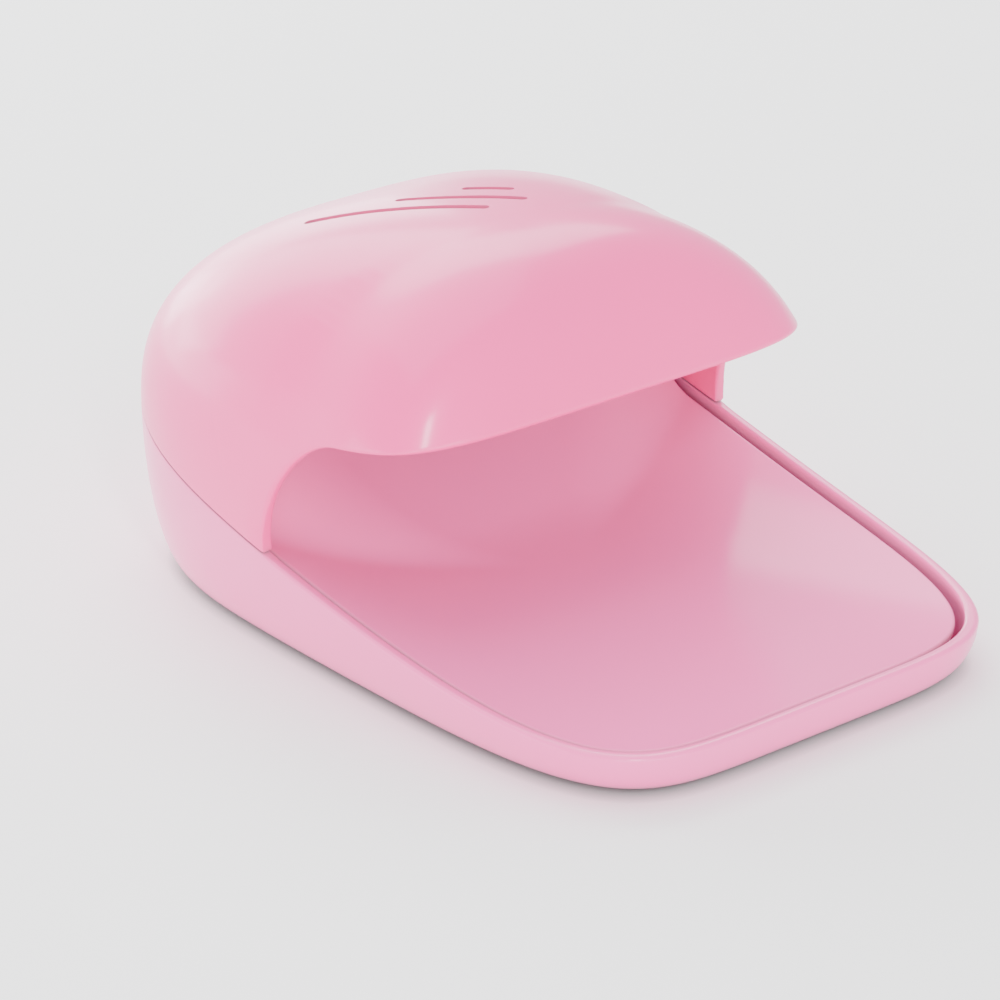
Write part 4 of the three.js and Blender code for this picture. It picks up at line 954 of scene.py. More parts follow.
class DryerSizes(bpy.types.PropertyGroup):
    """Sizes of the shells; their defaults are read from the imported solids."""

    width: length_setting("Width", "Widest width of the casing", LOWER_BOX[1].x - LOWER_BOX[0].x, 0.05)
    length: length_setting(
        "Length", "Length of the casing from front to back", LOWER_BOX[1].y - LOWER_BOX[0].y, 0.05)
    height: length_setting("Height", "Height of the crown over the table", UPPER_BOX[1].z, 0.03)
    wall: length_setting("Wall", "Thickness of the two shells", 2 * MM, MM)
    rim_round: length_setting("Rim Rounding", "Rounding of the open tray's rim", 0.75 * MM, 0.1 * MM)
    lip_round: length_setting("Lip Rounding", "Rounding of the edge round the mouth", 0.85 * MM, 0.1 * MM)
    seam_round: length_setting(
        "Seam Rounding", "Rounding of both edges along the seam", 0.2 * MM, 0.05 * MM)
    seam_gap: length_setting("Seam Gap", "Gap between the two shells", 0.3 * MM, 0)
    slot_width: length_setting("Slot Width", "Width of the air slots in the crown", 1.8 * MM, 0.5 * MM)
    plate_gap: length_setting(
        "Plate Gap", "Gap between the press plate and the tray's wall", 1.2 * MM, 0.3 * MM)
    plate_thickness: length_setting("Plate Thickness", "Thickness of the press plate", 1.5 * MM, 0.5 * MM)
    plate_round: length_setting("Plate Rounding", "Rounding of the press plate's edge", 0.5 * MM, 0.1 * MM)
    columns: IntProperty(
        name="Columns", description="Points round each shell", default=440, min=80, max=800)


class DryerFinishes(bpy.types.PropertyGroup):
    """Colours and gloss."""

    casing_colour: colour_setting("Hood", "Colour of the hood", (0.99, 0.065, 0.32))
    tray_colour: colour_setting("Tray", "Colour of the tray and the battery door", (0.99, 0.13, 0.42))
    plate_colour: colour_setting("Press Plate", "Colour of the press plate", (1.0, 0.165, 0.455))
    # The ceiling's colour is painted darker than its pink plastic: painted shade under the hood.
    shroud_shade_colour: colour_setting("Ceiling", "Colour of the ceiling over the fingers", (0.55, 0.17, 0.29))
    fan_colour: colour_setting("Fan", "Colour of the fan", (0.80, 0.79, 0.78))
    rubber_colour: colour_setting("Feet", "Colour of the rubber feet", (0.33, 0.30, 0.32))
    sleeve_colour: colour_setting("Cell Sleeve", "Colour of the film round the cells", (0.07, 0.09, 0.12))
    casing_roughness: roughness_setting("Casing Roughness", "Roughness of the shells", 0.34)
    plate_roughness: roughness_setting("Plate Roughness", "Roughness of the press plate", 0.13)


class StudioSettings(bpy.types.PropertyGroup):
    """Floor, light and camera."""

    floor_colour: colour_setting("Floor", "Colour of the floor", (0.96, 0.96, 0.96))
    sky: FloatProperty(
        name="Ambient", description="Strength of the even light all round", default=1.38, min=0)
    overhead: power_setting("Overhead", "Power of the large panel overhead", 8.5)
    rear: power_setting("Rear", "Power of the large panel behind", 45.0)
    rear_low: power_setting("Rear Low", "Power of the panel low behind", 13.0)
    front_low: power_setting("Front Low", "Power of the panel low in front", 13.0)
    left: power_setting("Left", "Power of the panel on the left", 5.5)
    left_rear: power_setting("Left Rear", "Power of the low panel behind on the left", 8.5)
    front: power_setting("Front", "Power of the panel beside the camera", 6.0)
    camera_azimuth: FloatProperty(
        name="Camera Azimuth", description="Turn of the camera to the left of the open front",
        subtype="ANGLE", default=math.radians(-39.11))
    camera_elevation: FloatProperty(
        name="Camera Elevation", description="Height angle of the camera", subtype="ANGLE",
        default=math.radians(24.53))
    camera_distance: FloatProperty(
        name="Camera Distance", description="Distance from the camera to its target",
        unit="LENGTH", default=0.7139, min=0.1)
    lens: FloatProperty(
        name="Lens", description="Focal length on a 36 mm sensor", subtype="DISTANCE_CAMERA",
        default=154.55, min=10)


def casing_screw_places(shape):
    """Where the four casing screws stand, the left ones first."""
    return [(side * x, shape.back - back) for side in (-1, 1) for x, back in SCREW_SPOTS]


def shroud_screw_places(shape):
    """Where the three screws of the ceiling stand."""
    return [(x, shape.back - back) for x, back in SHROUD_SCREW_SPOTS]


def cradle_posts(shape):
    """Where the three posts of the motor's cradle stand round the fan."""
    return [(math.cos(a) * CRADLE_REACH, shape.fan + math.sin(a) * CRADLE_REACH) for a in CRADLE_ANGLES]


class DRYER_OT_upper_casing(bpy.types.Operator):
    """Build the hood with its mouth, lip, air slots and inner bosses"""

    bl_idname = "dryer.upper_casing"
    bl_label = "Upper Casing"

    def execute(self, context):
        sizes = context.scene.dryer_sizes
        shape = CasingShape(sizes)
        turn = full_turn(lambda t: shape.edge_point(t, 0), sizes.columns)
        spot = shape.edge_point(turn, 0)
        at_seam = smooth((spot[:, 1] - shape.post + 2 * MM) / (4 * MM))
        rounding = mix(sizes.lip_round, sizes.seam_round, at_seam)

        def edge_ring(inset, away):
            """The shell's edge at an inset in its wall, moved along each column by a distance away."""
            rise = shape.edge_rise(turn, inset)
            here = shape.hood_point(shape.column_angle(turn, rise), rise, inset)
            step = 0.0005
            ahead = shape.hood_point(shape.column_angle(turn, rise + step), rise + step, inset) - here
            along = np.roll(here, -1, 0) - np.roll(here, 1, 0)
            along /= np.linalg.norm(along, axis=-1, keepdims=True)
            clear = ahead - along * np.sum(ahead * along, -1, keepdims=True)
            pace = np.linalg.norm(clear, axis=-1) / step
            moved = rise + away / pace
            return shape.hood_point(shape.column_angle(turn, moved), moved, inset), moved

        wall = shape.wall
        arc = np.linspace(0, math.pi / 2, 6)
        profile = [(wall - rounding * (1 - np.cos(a)), rounding * (1 - np.sin(a))) for a in arc]
        profile += [(rounding * (1 - np.cos(a)), rounding * (1 - np.sin(a))) for a in arc[::-1]]
        edge, lowest_rises = zip(*(edge_ring(inset, away) for inset, away in profile))
        power = mix(1.15, 1.7, at_seam)

        def skin_rings(lowest, inset, rows):
            """Rings from just above the edge up to just under the crown."""
            share = np.linspace(0, 1, rows + 1)[1:-1, None]
            rise = lowest + (1 - lowest) * share**power
            return shape.hood_point(shape.column_angle(turn[None], rise), rise, inset)

        outer = skin_rings(lowest_rises[-1], 0.0, 72)
        inner = skin_rings(lowest_rises[0], wall, 40)
        rings = np.concatenate([inner[::-1], np.array(edge), outer])
        crown = [0, shape.crown, shape.height]
        hood = new_object("hood_shell", [ring_solid(rings, [0, shape.crown, shape.height - wall], crown)])

        bosses = [
            upright_solid(BOSS_RADIUS, *place, UPPER_BOSS_LOW, shape.height)
            for place in casing_screw_places(shape)
        ] + [
            upright_solid(SMALL_BOSS_RADIUS, *place, CEILING_TOP + FIT_GAP, shape.height)
            for place in shroud_screw_places(shape)
        ]
        boss = new_object("hood_bosses", bosses)
        level = np.linspace(0, 1, 31)[:-1, None]
        middle = shape.hood_point(turn[None, ::4], level, wall / 2)
        combine(boss, "INTERSECT", [
            ring_solid(middle, middle[0].mean(0), [0, shape.crown, shape.height - wall / 2])])
        merge(hood, boss)
        holes = [
            upright_solid(BORE_RADIUS, *place, 0, UPPER_BORE_TOP, 24)
            for place in casing_screw_places(shape)
        ] + [
            upright_solid(SMALL_BORE_RADIUS, *place, 0, CEILING_TOP + SHROUD_BORE_DEPTH, 24)
            for place in shroud_screw_places(shape)
        ]
        combine(hood, "DIFFERENCE", holes)
        slots = [slot_solid(shape, sizes.slot_width, i) for i in range(len(SLOT_LENGTHS))]
        combine(hood, "DIFFERENCE", slots)
        shaded(cleaned(hood))
        place_piece(hood, casing_plastic(), "root", "casing", "upper_casing")
        return {"FINISHED"}


def slot_solid(shape, width, index):
    """One air slot as an upright cutter with round ends, turned across the crown."""
    half = SLOT_LENGTHS[index] / 2 - width / 2
    angle = np.linspace(0, math.pi, 13)
    end = np.column_stack([np.cos(angle), np.sin(angle)]) * width / 2
    outline = np.vstack([end + [0, half], -end - [0, half]])
    outline += [SLOT_PITCH * index, -SLOT_LEADS[index]]
    cos, sin = math.cos(SLOT_TURN), math.sin(SLOT_TURN)
    x = outline[:, 0] * cos - outline[:, 1] * sin + SLOT_MIDDLE[0]
    y = outline[:, 0] * sin + outline[:, 1] * cos + shape.crown + SLOT_MIDDLE[1]
    low, high = shape.height - 9 * MM, shape.height + 9 * MM
    rings = [points(x, y, low), points(x, y, high)]
    middle = (x.mean(), y.mean())
    return ring_solid(rings, [*middle, low], [*middle, high])


class DRYER_OT_lower_casing(bpy.types.Operator):
    """Build the tray with its rim, battery bay, bosses and brackets"""

    bl_idname = "dryer.lower_casing"
    bl_label = "Lower Casing"

    def execute(self, context):
        sizes = context.scene.dryer_sizes
        shape = CasingShape(sizes)
        angle = full_turn(lambda a: shape.tray_point(a, 1.0, 0.0), sizes.columns)
        rim_y = shape.rim_plan(angle, 0.0)[1]
        under_hood = smooth((rim_y - shape.post + 3 * MM) / (6 * MM))
        rounding = mix(sizes.rim_round, sizes.seam_round, under_hood)
        wall = shape.wall

        def rim_ring(inset, drop):
            """The rim's outline at an inset, dropped a little below the rim's own height."""
            x, y = shape.rim_plan(angle, inset)
            return points(x, y, shape.rim_height(y) - drop)

        def wall_rings(inset, low, rows):
            """Rings of the wall from a height up to where the rim's rounding starts."""
            top = shape.rim_height(shape.rim_plan(angle, inset)[1])
            first = (low - UNDERSIDE) / (top - UNDERSIDE)
            last = 1 - rounding / (top - UNDERSIDE)
            share = np.linspace(0, 1, rows)[:, None] ** 1.5
            return shape.tray_point(angle[None], mix(first, last, share), inset)

        def flat_rings(ring, shares):
            """Rings of a flat face, drawn in from its edge towards the middle."""
            centre = np.array([0, 0, ring[0, 2]])
            return centre + (ring - centre) * np.asarray(shares)[:, None, None]

        arc = np.linspace(0, math.pi / 2, 7)
        outer = wall_rings(0.0, UNDERSIDE, 26)
        outer_round = [rim_ring(rounding * (1 - np.cos(a)), rounding * (1 - np.sin(a))) for a in arc[1:]]
        inner_round = [
            rim_ring(wall - rounding * (1 - np.cos(a)), rounding * (1 - np.sin(a))) for a in arc[::-1]
        ]
        inner = wall_rings(wall, FLOOR, 22)[::-1]
        under = flat_rings(outer[0], [0.3, 0.6, 0.85, 0.98])
        floor = flat_rings(inner[-1], [0.98, 0.85, 0.6, 0.3])
        rings = np.concatenate([under, outer, outer_round, inner_round, inner[1:], floor])
        tray = new_object("tray_shell", [ring_solid(rings, [0, 0, UNDERSIDE], [0, 0, FLOOR])])

        low = FLOOR - FIT_GAP
        combine(tray, "UNION", [crosswise_solid(
            bay_outline(shape, BAY_WALL, low), -BAY_HALF - BAY_WALL, BAY_HALF + BAY_WALL)])
        added, holes, recesses = [], [], []
        for side in (-1, 1):
            for x, back in SCREW_SPOTS:
                place = (side * x, shape.back - back)
                added.append(upright_solid(BOSS_RADIUS, *place, low, LOWER_BOSS_TOP))
                recesses.append(upright_solid(HEAD_RECESS_RADIUS, *place, -OVERRUN, HEAD_RECESS_TOP))
                holes.append(upright_solid(BORE_RADIUS, *place, UNDERSIDE, LOWER_BORE_TOP, 24))
            for x, back in FOOT_SPOTS:
                recesses.append(upright_solid(
                    FOOT_RECESS_RADIUS, side * x, shape.back - back, -OVERRUN, FOOT_RECESS_TOP, 48))
            added += hinge_brackets(shape, side)
            added.append(upright_solid(
                PEG_RADIUS, side * PEG_X, shape.hinge - SWITCH_FROM_HINGE, low, PEG_TOP, 20))
            spring = (side * SPRING_X, shape.hinge - SPRING_FROM_HINGE)
            added.append(turned_solid(filleted([
                [CUP_BORE, low], [CUP_RADIUS, low], [CUP_RADIUS, CUP_TOP], [CUP_BORE, CUP_TOP],
                [CUP_BORE, low],
            ], 0.12 * MM), (*spring, 0), 40))
            tab = side * TAB_X
            recesses.append(block_solid(
                tab - TAB_HALF - FIT_GAP, tab + TAB_HALF + FIT_GAP,
                bay_front(shape) - TAB_REACH - FIT_GAP, bay_front(shape) + TAB_ROOT,
                TAB_LOW - FIT_GAP, TAB_POCKET_TOP))
            holes.append(lying_solid(
                PIN_BORE, side * HINGE_X - PIN_LENGTH, side * HINGE_X + PIN_LENGTH, shape.hinge, HINGE_Z))
        combine(tray, "UNION", added)
        combine(tray, "DIFFERENCE", [crosswise_solid(bay_outline(shape, 0, -OVERRUN), -BAY_HALF, BAY_HALF)])
        back = bay_back(shape)
        recesses.append(block_solid(
            -TONGUE_HALF - FIT_GAP, TONGUE_HALF + FIT_GAP,
            back - TONGUE_ROOT, back + TONGUE_REACH + FIT_GAP, -OVERRUN, FLOOR - FIT_GAP))
        for from_back in (CELL_FRONT_FROM_BACK, CELL_REAR_FROM_BACK):
            y = shape.back - from_back
            recesses.append(block_solid(
                -BAY_HALF, -BAY_HALF + CONTACT_DEPTH, y - CONTACT_NOTCH, y + CONTACT_NOTCH,
                CELL_Z, CELL_Z + CELL_RADIUS * 2))
        combine(tray, "DIFFERENCE", recesses)
        combine(tray, "DIFFERENCE", holes)
        shaded(cleaned(tray))
        place_piece(tray, tray_plastic(), "root", "casing", "lower_casing")
        return {"FINISHED"}


def bay_front(shape):
    """Front face of the battery bay's opening."""
    return shape.back - CELL_FRONT_FROM_BACK - BAY_REACH


def bay_back(shape):
    """Back face of the battery bay's opening."""
    return shape.back - CELL_REAR_FROM_BACK + BAY_REACH


def bay_outline(shape, grow, low):
    """The bay's cross-section: straight sides with a quarter circle over each cell."""
    front, rear = shape.back - CELL_FRONT_FROM_BACK, shape.back - CELL_REAR_FROM_BACK
    reach = BAY_REACH + grow
    turn = np.linspace(0, math.pi / 2, 17)
    over_rear = np.column_stack([rear + np.cos(turn) * reach, CELL_Z + np.sin(turn) * reach])
    over_front = np.column_stack([front - np.sin(turn) * reach, CELL_Z + np.cos(turn) * reach])
    return np.vstack([[[front - reach, low], [rear + reach, low]], over_rear, over_front])


def hinge_brackets(shape, side):
    """Two upright cheeks beside a hinge lug."""
    half = LUG_RADIUS + FIT_GAP
    near = side * HINGE_X - LUG_WIDTH / 2 - FIT_GAP - BRACKET
    far = side * HINGE_X + LUG_WIDTH / 2 + FIT_GAP
    front, back = shape.hinge - half, bay_front(shape) - BAY_WALL + FIT_GAP
    return [
        block_solid(x, x + BRACKET, front, back, FLOOR - FIT_GAP, HINGE_Z + half) for x in (near, far)
    ]


class DRYER_OT_press_plate(bpy.types.Operator):
    """Build the scooped press plate with its hinge lugs and pads"""

    bl_idname = "dryer.press_plate"
    bl_label = "Press Plate"

    def execute(self, context):
        sizes = context.scene.dryer_sizes
        shape = CasingShape(sizes)
        angle = full_turn(shape.plate_edge, 400)
        edge = shape.plate_edge(angle)
        reach = np.hypot(edge[:, 0], edge[:, 1] - shape.plate_middle)
        thickness, rounding = shape.plate_thickness, sizes.plate_round
        arc = np.linspace(0, math.pi / 2, 7)
        last = 1 - rounding / reach
        shares = np.sin(np.linspace(0, math.pi / 2, 46)[1:])[:, None] * last[None]
        top = shape.plate_point(angle[None], shares)
        under = shape.plate_under(angle[None], shares, thickness)
        turned = [
            shape.plate_under(
                angle, 1 - rounding * (1 - np.cos(a)) / reach, thickness - rounding * (1 - np.sin(a)))
            for a in arc[::-1][1:]
        ] + [
            shape.plate_under(angle, 1 - rounding * (1 - np.cos(a)) / reach, rounding * (1 - np.sin(a)))
            for a in arc[:-1]
        ]
        middle = shape.plate_point(np.zeros(1), 0.0)[0]
        rings = np.concatenate([under, turned, top[::-1]])
        plate = new_object("press_plate_skin", [ring_solid(rings, middle - [0, 0, thickness], middle)])

        hanging, blocks, holes = [], [], []
        spring_y, switch_y = shape.hinge - SPRING_FROM_HINGE, shape.hinge - SWITCH_FROM_HINGE
        for side in (-1, 1):
            x = side * HINGE_X
            left, right = x - LUG_WIDTH / 2, x + LUG_WIDTH / 2
            hanging.append(lying_solid(LUG_RADIUS, left, right, shape.hinge, HINGE_Z, 48))
            blocks.append(block_solid(
                left, right, shape.hinge - LUG_RADIUS, shape.hinge + LUG_RADIUS, HINGE_Z, shape.plate_top))
            hanging.append(upright_solid(
                PAD_RADIUS, side * SPRING_X, spring_y, SPRING_TOP + FIT_GAP, shape.plate_top))
            holes.append(lying_solid(PIN_BORE, x - LUG_WIDTH, x + LUG_WIDTH, shape.hinge, HINGE_Z))
        press_z = float(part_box("switch_plunger")[1].z) + FIT_GAP
        hanging.append(upright_solid(PRESSER_RADIUS, 0, switch_y, press_z, shape.plate_top, 24))
        hung = new_object("press_plate_lugs", hanging)
        combine(hung, "UNION", blocks)
        below = -OVERRUN - 1 * MM
        level = np.sin(np.linspace(math.pi / 2, 0, 16)[:-1])[:, None]
        lower = np.concatenate([
            points(edge[:, 0], edge[:, 1], below)[None, ::4],
            shape.plate_under(angle[None, ::4], level, thickness / 2),
        ])
        combine(hung, "INTERSECT", [ring_solid(
            lower, [0, shape.plate_middle, below], middle - [0, 0, thickness / 2])])
        merge(plate, hung)
        combine(plate, "DIFFERENCE", holes)
        shaded(cleaned(plate), 40)
        place_piece(plate, plate_plastic(), "plate", "plate", "press_plate")
        return {"FINISHED"}


class DRYER_OT_battery_door(bpy.types.Operator):
    """Build the battery door with its tabs, thumb tongue and grip grooves"""

    bl_idname = "dryer.battery_door"
    bl_label = "Battery Door"

    def execute(self, context):
        shape = CasingShape(context.scene.dryer_sizes)
        front, back = bay_front(shape), bay_back(shape)
        half = BAY_HALF - FIT_GAP
        door = new_object("battery_door_panel", [
            block_solid(-half, half, front + FIT_GAP, back - FIT_GAP, UNDERSIDE, FLOOR)])
        added = [block_solid(
            -TONGUE_HALF, TONGUE_HALF, back - TONGUE_ROOT, back + TONGUE_REACH, UNDERSIDE, TONGUE_TOP)]
        added += [
            block_solid(side * TAB_X - TAB_HALF, side * TAB_X + TAB_HALF,
                        front - TAB_REACH, front + TAB_ROOT, TAB_LOW, TAB_TOP)
            for side in (-1, 1)
        ]
        combine(door, "UNION", added)
        groove_backs = [back - GROOVE_FIRST - GROOVE_PITCH * i for i in range(GROOVES)]
        grooves = [
            block_solid(-TONGUE_HALF, TONGUE_HALF, y - GROOVE_WIDTH, y, -OVERRUN, GROOVE_TOP)
            for y in groove_backs
        ]
        combine(door, "DIFFERENCE", grooves)
        rounded_edges(door, 0.14 * MM, 2)
        shaded(door)
        place_piece(door, tray_plastic(), "door", "casing", "battery_door")
        return {"FINISHED"}


class DRYER_OT_feet(bpy.types.Operator):
    """Build the four rubber feet"""

    bl_idname = "dryer.feet"
    bl_label = "Feet"

    def execute(self, context):
        shape = CasingShape(context.scene.dryer_sizes)
        spots = [(-1, FOOT_SPOTS[0]), (1, FOOT_SPOTS[0]), (-1, FOOT_SPOTS[1]), (1, FOOT_SPOTS[1])]
        for number, (side, (x, back)) in enumerate(spots, 1):
            outline = filleted([
                [0, 0.18 * MM], [2.2 * MM, 0.18 * MM], [2.5 * MM, 0], [3.7 * MM, 0],
                [FOOT_RADIUS, 0.3 * MM], [FOOT_RADIUS, FOOT_TOP], [0, FOOT_TOP],
            ], 0.18 * MM, 4)
            foot = new_object(f"foot_pad_{number}", [
                turned_solid(outline, (side * x, shape.back - back, 0), 56)])
            shaded(foot, 50)
            place_piece(foot, foot_rubber(), "root", "rubber", f"foot_{number}")
        return {"FINISHED"}


def screw_solid(seat, way, shank, head, head_height, length, place):
    """A pan head screw with a cross recess and a wound thread.

    The head's face is a shallow dome, lowered inside two crossed bars. The shank's radius swings
    with the angle plus the height over the pitch, which winds the thread.
    """
    angle = np.linspace(0, 2 * math.pi, 48, endpoint=False)[None]
    share = np.linspace(0, 1, 26)[1:, None]
    radius = share * head * 0.96
    x, y = radius * np.cos(angle), radius * np.sin(angle)
    near, far = np.minimum(np.abs(x), np.abs(y)), np.maximum(np.abs(x), np.abs(y))
    bar = smooth((head * 0.17 - near) / (head * 0.07)) * smooth((head * 0.68 - far) / (head * 0.12))
    face = head_height * (1 - 0.28 * share**2) - bar * head_height * 0.55
    side_share = np.linspace(0, 1, 6)[1:, None]
    side_radius = head * (0.96 + 0.04 * np.sin(side_share * math.pi / 2))
    side_z = head_height * 0.72 * (1 - side_share)
    run = np.linspace(0, 1, int(round(length / THREAD_PITCH * 7)))[:, None]
    depth = run * (length - shank)
    fade = smooth((run - 0.02) / 0.05)
    swing = 0.5 + 0.5 * np.cos(2 * math.pi * depth / THREAD_PITCH - angle)
    thread = shank * (0.97 - 0.2 * fade * (1 - swing**2))
    tip = np.linspace(0, 1, 6)[1:-1, None]
    parts = (
        (radius, face), (side_radius, side_z), (thread, -depth),
        (shank * 0.77 * (1 - tip), shank - length - shank * tip),
    )
    rings = np.concatenate([points(r * np.cos(angle), r * np.sin(angle), z) for r, z in parts])
    solid = ring_solid(rings[::-1], [0, 0, -length], [0, 0, head_height * 0.45])
    vertices = solid[0] * [1, way, way]
    return vertices + [place[0], place[1], seat], solid[1], solid[2]


class DRYER_OT_screws(bpy.types.Operator):
    """Build the screws of the casing, the ceiling and the cradle"""

    bl_idname = "dryer.screws"
    bl_label = "Screws"

    def execute(self, context):
        shape = CasingShape(context.scene.dryer_sizes)
        casing, shroud, cradle = casing_screw_places(shape), shroud_screw_places(shape), cradle_posts(shape)
        # name, places, seat, way of the head, shank and head radius, head height, length
        kinds = (
            ("casing_screw", casing, 4.3 * MM, -1, 1.1 * MM, 2.1 * MM, 1.6 * MM, 14 * MM),
            ("shroud_screw", shroud, 43.3 * MM, -1, 1 * MM, 2 * MM, 1.2 * MM, 7.1 * MM),
            ("cradle_screw", cradle, 54 * MM, 1, 1 * MM, 2 * MM, 1.2 * MM, 6.5 * MM),
        )
        for name, places, seat, way, shank, head, head_height, length in kinds:
            for number, place in enumerate(places, 1):
                solid = screw_solid(seat, way, shank, head, head_height, length, place)
                screw = new_object(f"{name}_{number}_bright", [solid])
                shaded(screw, 38)
                place_piece(screw, zinc_steel(), "root", "steel", f"{name}_{number}")
        return {"FINISHED"}


class DRYER_OT_ceiling(bpy.types.Operator):
    """Build the ceiling over the fingers with its duct, and the outlet grille"""

    bl_idname = "dryer.ceiling"
    bl_label = "Ceiling And Grille"

    def execute(self, context):
        sizes = context.scene.dryer_sizes
        shape = CasingShape(sizes)
        inset = shape.wall + FIT_GAP
        turn = full_turn(lambda t: shape.hood_point(t, np.full_like(t, 0.45), inset), 240)

        def level_ring(z):
            """The hood's inner outline at a height, by halving the rise."""
            low, high = np.zeros_like(turn), np.ones_like(turn)
            for _ in range(40):
                middle = (low + high) / 2
                above = shape.hood_point(turn, middle, inset)[:, 2] > z
                high, low = np.where(above, middle, high), np.where(above, low, middle)
            ring = shape.hood_point(turn, high, inset)
            ring[:, 2] = z
            return ring

        rings = [level_ring(z) for z in np.linspace(CEILING, CEILING_TOP, 3)]
        panel = new_object("ceiling_panel", [
            ring_solid(rings, [0, shape.fan, CEILING], [0, shape.fan, CEILING_TOP])])
        posts = cradle_posts(shape)
        duct_outside = DUCT_RADIUS + DUCT_SKIN
        combine(panel, "UNION", [upright_solid(duct_outside, 0, shape.fan, CEILING, DUCT_TOP, 120)])
        combine(panel, "UNION", [
            upright_solid(SMALL_BOSS_RADIUS, *post, CEILING, DUCT_TOP, 32) for post in posts])
        through = (CEILING - OVERRUN, CEILING_TOP + OVERRUN)
        cuts = [upright_solid(DUCT_RADIUS, 0, shape.fan, CEILING - OVERRUN, DUCT_TOP + OVERRUN, 120)]
        cuts += [
            upright_solid(SMALL_BORE_RADIUS, *post, DUCT_TOP - CRADLE_BORE_DEPTH, DUCT_TOP + OVERRUN, 24)
            for post in posts
        ]
        cuts += [
            upright_solid(SMALL_BORE_RADIUS, *place, *through, 24) for place in shroud_screw_places(shape)
        ]
        cuts += [
            upright_solid(BOSS_PASSAGE_RADIUS, *place, *through) for place in casing_screw_places(shape)
        ]
        cuts += [
            upright_solid(
                WIRE_PASSAGE_RADIUS, side * WIRE_PASSAGE_X, shape.back - WIRE_PASSAGE_FROM_BACK, *through)
            for side in (-1, 1)
        ]
        combine(panel, "DIFFERENCE", cuts)
        shaded(cleaned(panel))
        place_piece(panel, shroud_shaded_plastic(), "root", "shroud", "fan_shroud")

        grille = new_object("outlet_grille_rings", [grille_rim(shape)])
        inner = DUCT_RADIUS - DUCT_SKIN
        hub, top = GRILLE_HUB, CEILING - FIT_GAP
        low = top - GRILLE_THICKNESS
        pitch = (inner - hub) / (GRILLE_RINGS + 1)
        parts = [ring_bar(shape, hub + pitch * i, low, top) for i in range(1, GRILLE_RINGS + 1)]
        disc = filleted([[0, low], [hub, low], [hub, top], [0, top]], 0.3 * MM)
        parts.append(turned_solid(disc, (0, shape.fan, 0), 64))
        combine(grille, "UNION", parts)
        for start in (0, 1):
            combine(grille, "UNION", [
                spoke_solid(shape, (2 * i + start) * math.pi / 3, hub, inner + 0.6 * MM, low, top)
                for i in range(3)
            ])
        shaded(cleaned(grille), 40)
        place_piece(grille, shroud_shaded_plastic(), "root", "shroud", "outlet_grille")
        return {"FINISHED"}


def grille_rim(shape):
    """The grille's flange and collar as one turned ring with rounded edges."""
    top = CEILING - FIT_GAP
    low = top - GRILLE_THICKNESS
    flange, collar, inner = DUCT_RADIUS + 2 * MM, DUCT_RADIUS - FIT_GAP, DUCT_RADIUS - DUCT_SKIN
    outline = [
        [inner, mix(low, top, 0.5)], [inner, low], [flange, low], [flange, top], [collar, top],
        [collar, top + GRILLE_COLLAR], [inner, top + GRILLE_COLLAR], [inner, mix(low, top, 0.5)],
    ]
    return turned_solid(filleted(outline, 0.3 * MM)[:-1], (0, shape.fan, 0), 120)


def ring_bar(shape, radius, low, top):
    """A ring of the grille with a rounded section."""
    inner, outer, middle = radius - GRILLE_BAR / 2, radius + GRILLE_BAR / 2, mix(low, top, 0.5)
    outline = [[inner, middle], [inner, low], [outer, low], [outer, top], [inner, top], [inner, middle]]
    return turned_solid(filleted(outline, 0.35 * MM)[:-1], (0, shape.fan, 0), 96)


def spoke_solid(shape, angle, start, end, low, top):
    """A spoke of the grille: a rounded section carried out along a radius."""
    half, middle = GRILLE_BAR / 2, mix(low, top, 0.5)
    corner = np.linspace(0, 2 * math.pi, 24, endpoint=False)
    across = signed_power(np.cos(corner), 0.4) * half
    up = middle + signed_power(np.sin(corner), 0.4) * (top - low) / 2
    cos, sin = math.cos(angle), math.sin(angle)
    rings = [
        points(run * cos - across * sin, shape.fan + run * sin + across * cos, up)
        for run in (start * 0.6, end)
    ]
    ends = [[run * cos, shape.fan + run * sin, middle] for run in (start * 0.6, end)]
    return ring_solid(rings, ends[0], ends[1])


class DRYER_OT_fan(bpy.types.Operator):
    """Build the fan's hub and seven twisted blades"""

    bl_idname = "dryer.fan"
    bl_label = "Fan"

    def execute(self, context):
        shape = CasingShape(context.scene.dryer_sizes)
        low, top, hub = IMPELLER_LOW, IMPELLER_TOP, IMPELLER_HUB
        hollow, web = 1.3 * MM, low + 1.1 * MM
        outline = filleted(
            [[0, low], [hub, low], [hub, top], [hollow, top], [hollow, web], [0, web]], 0.7 * MM)
        fan = new_object("fan_wheel", [turned_solid(outline, (0, shape.fan, 0), 72)])
        turns = [i * 2 * math.pi / BLADES for i in range(BLADES)]
        combine(fan, "UNION", [blade_solid(shape, turn, low, top, hub) for turn in turns])
        shaded(fan, 50)
        place_piece(fan, fan_plastic(), "fan", "fan", "impeller")
        return {"FINISHED"}


def blade_solid(shape, turn, low, top, hub):
    """A blade: a thin rounded strip carried outwards, leaning more at the hub than at the tip."""
    reach, thickness = DUCT_RADIUS - BLADE_GAP, BLADE_THICKNESS
    share = np.linspace(0, 1, 18)[:, None]
    radius = mix(hub - 0.8 * MM, reach, share)
    lean = 0.75 + 0.45 * (1 - share)
    half_z = (top - low) / 2 - thickness / 2
    corner = np.linspace(0, 2 * math.pi, 28, endpoint=False)[None]
    long, short = signed_power(np.sin(corner), 0.55), np.cos(corner)
    up = long * half_z
    across = long * half_z / np.tan(lean) + short * thickness / 2
    rings = points(radius, across, up)
    cos, sin = math.cos(turn), math.sin(turn)
    x = rings[..., 0] * cos - rings[..., 1] * sin
    y = rings[..., 0] * sin + rings[..., 1] * cos + shape.fan
    turned = points(x, y, rings[..., 2] + (low + top) / 2)
    return ring_solid(turned, turned[0].mean(0), turned[-1].mean(0))


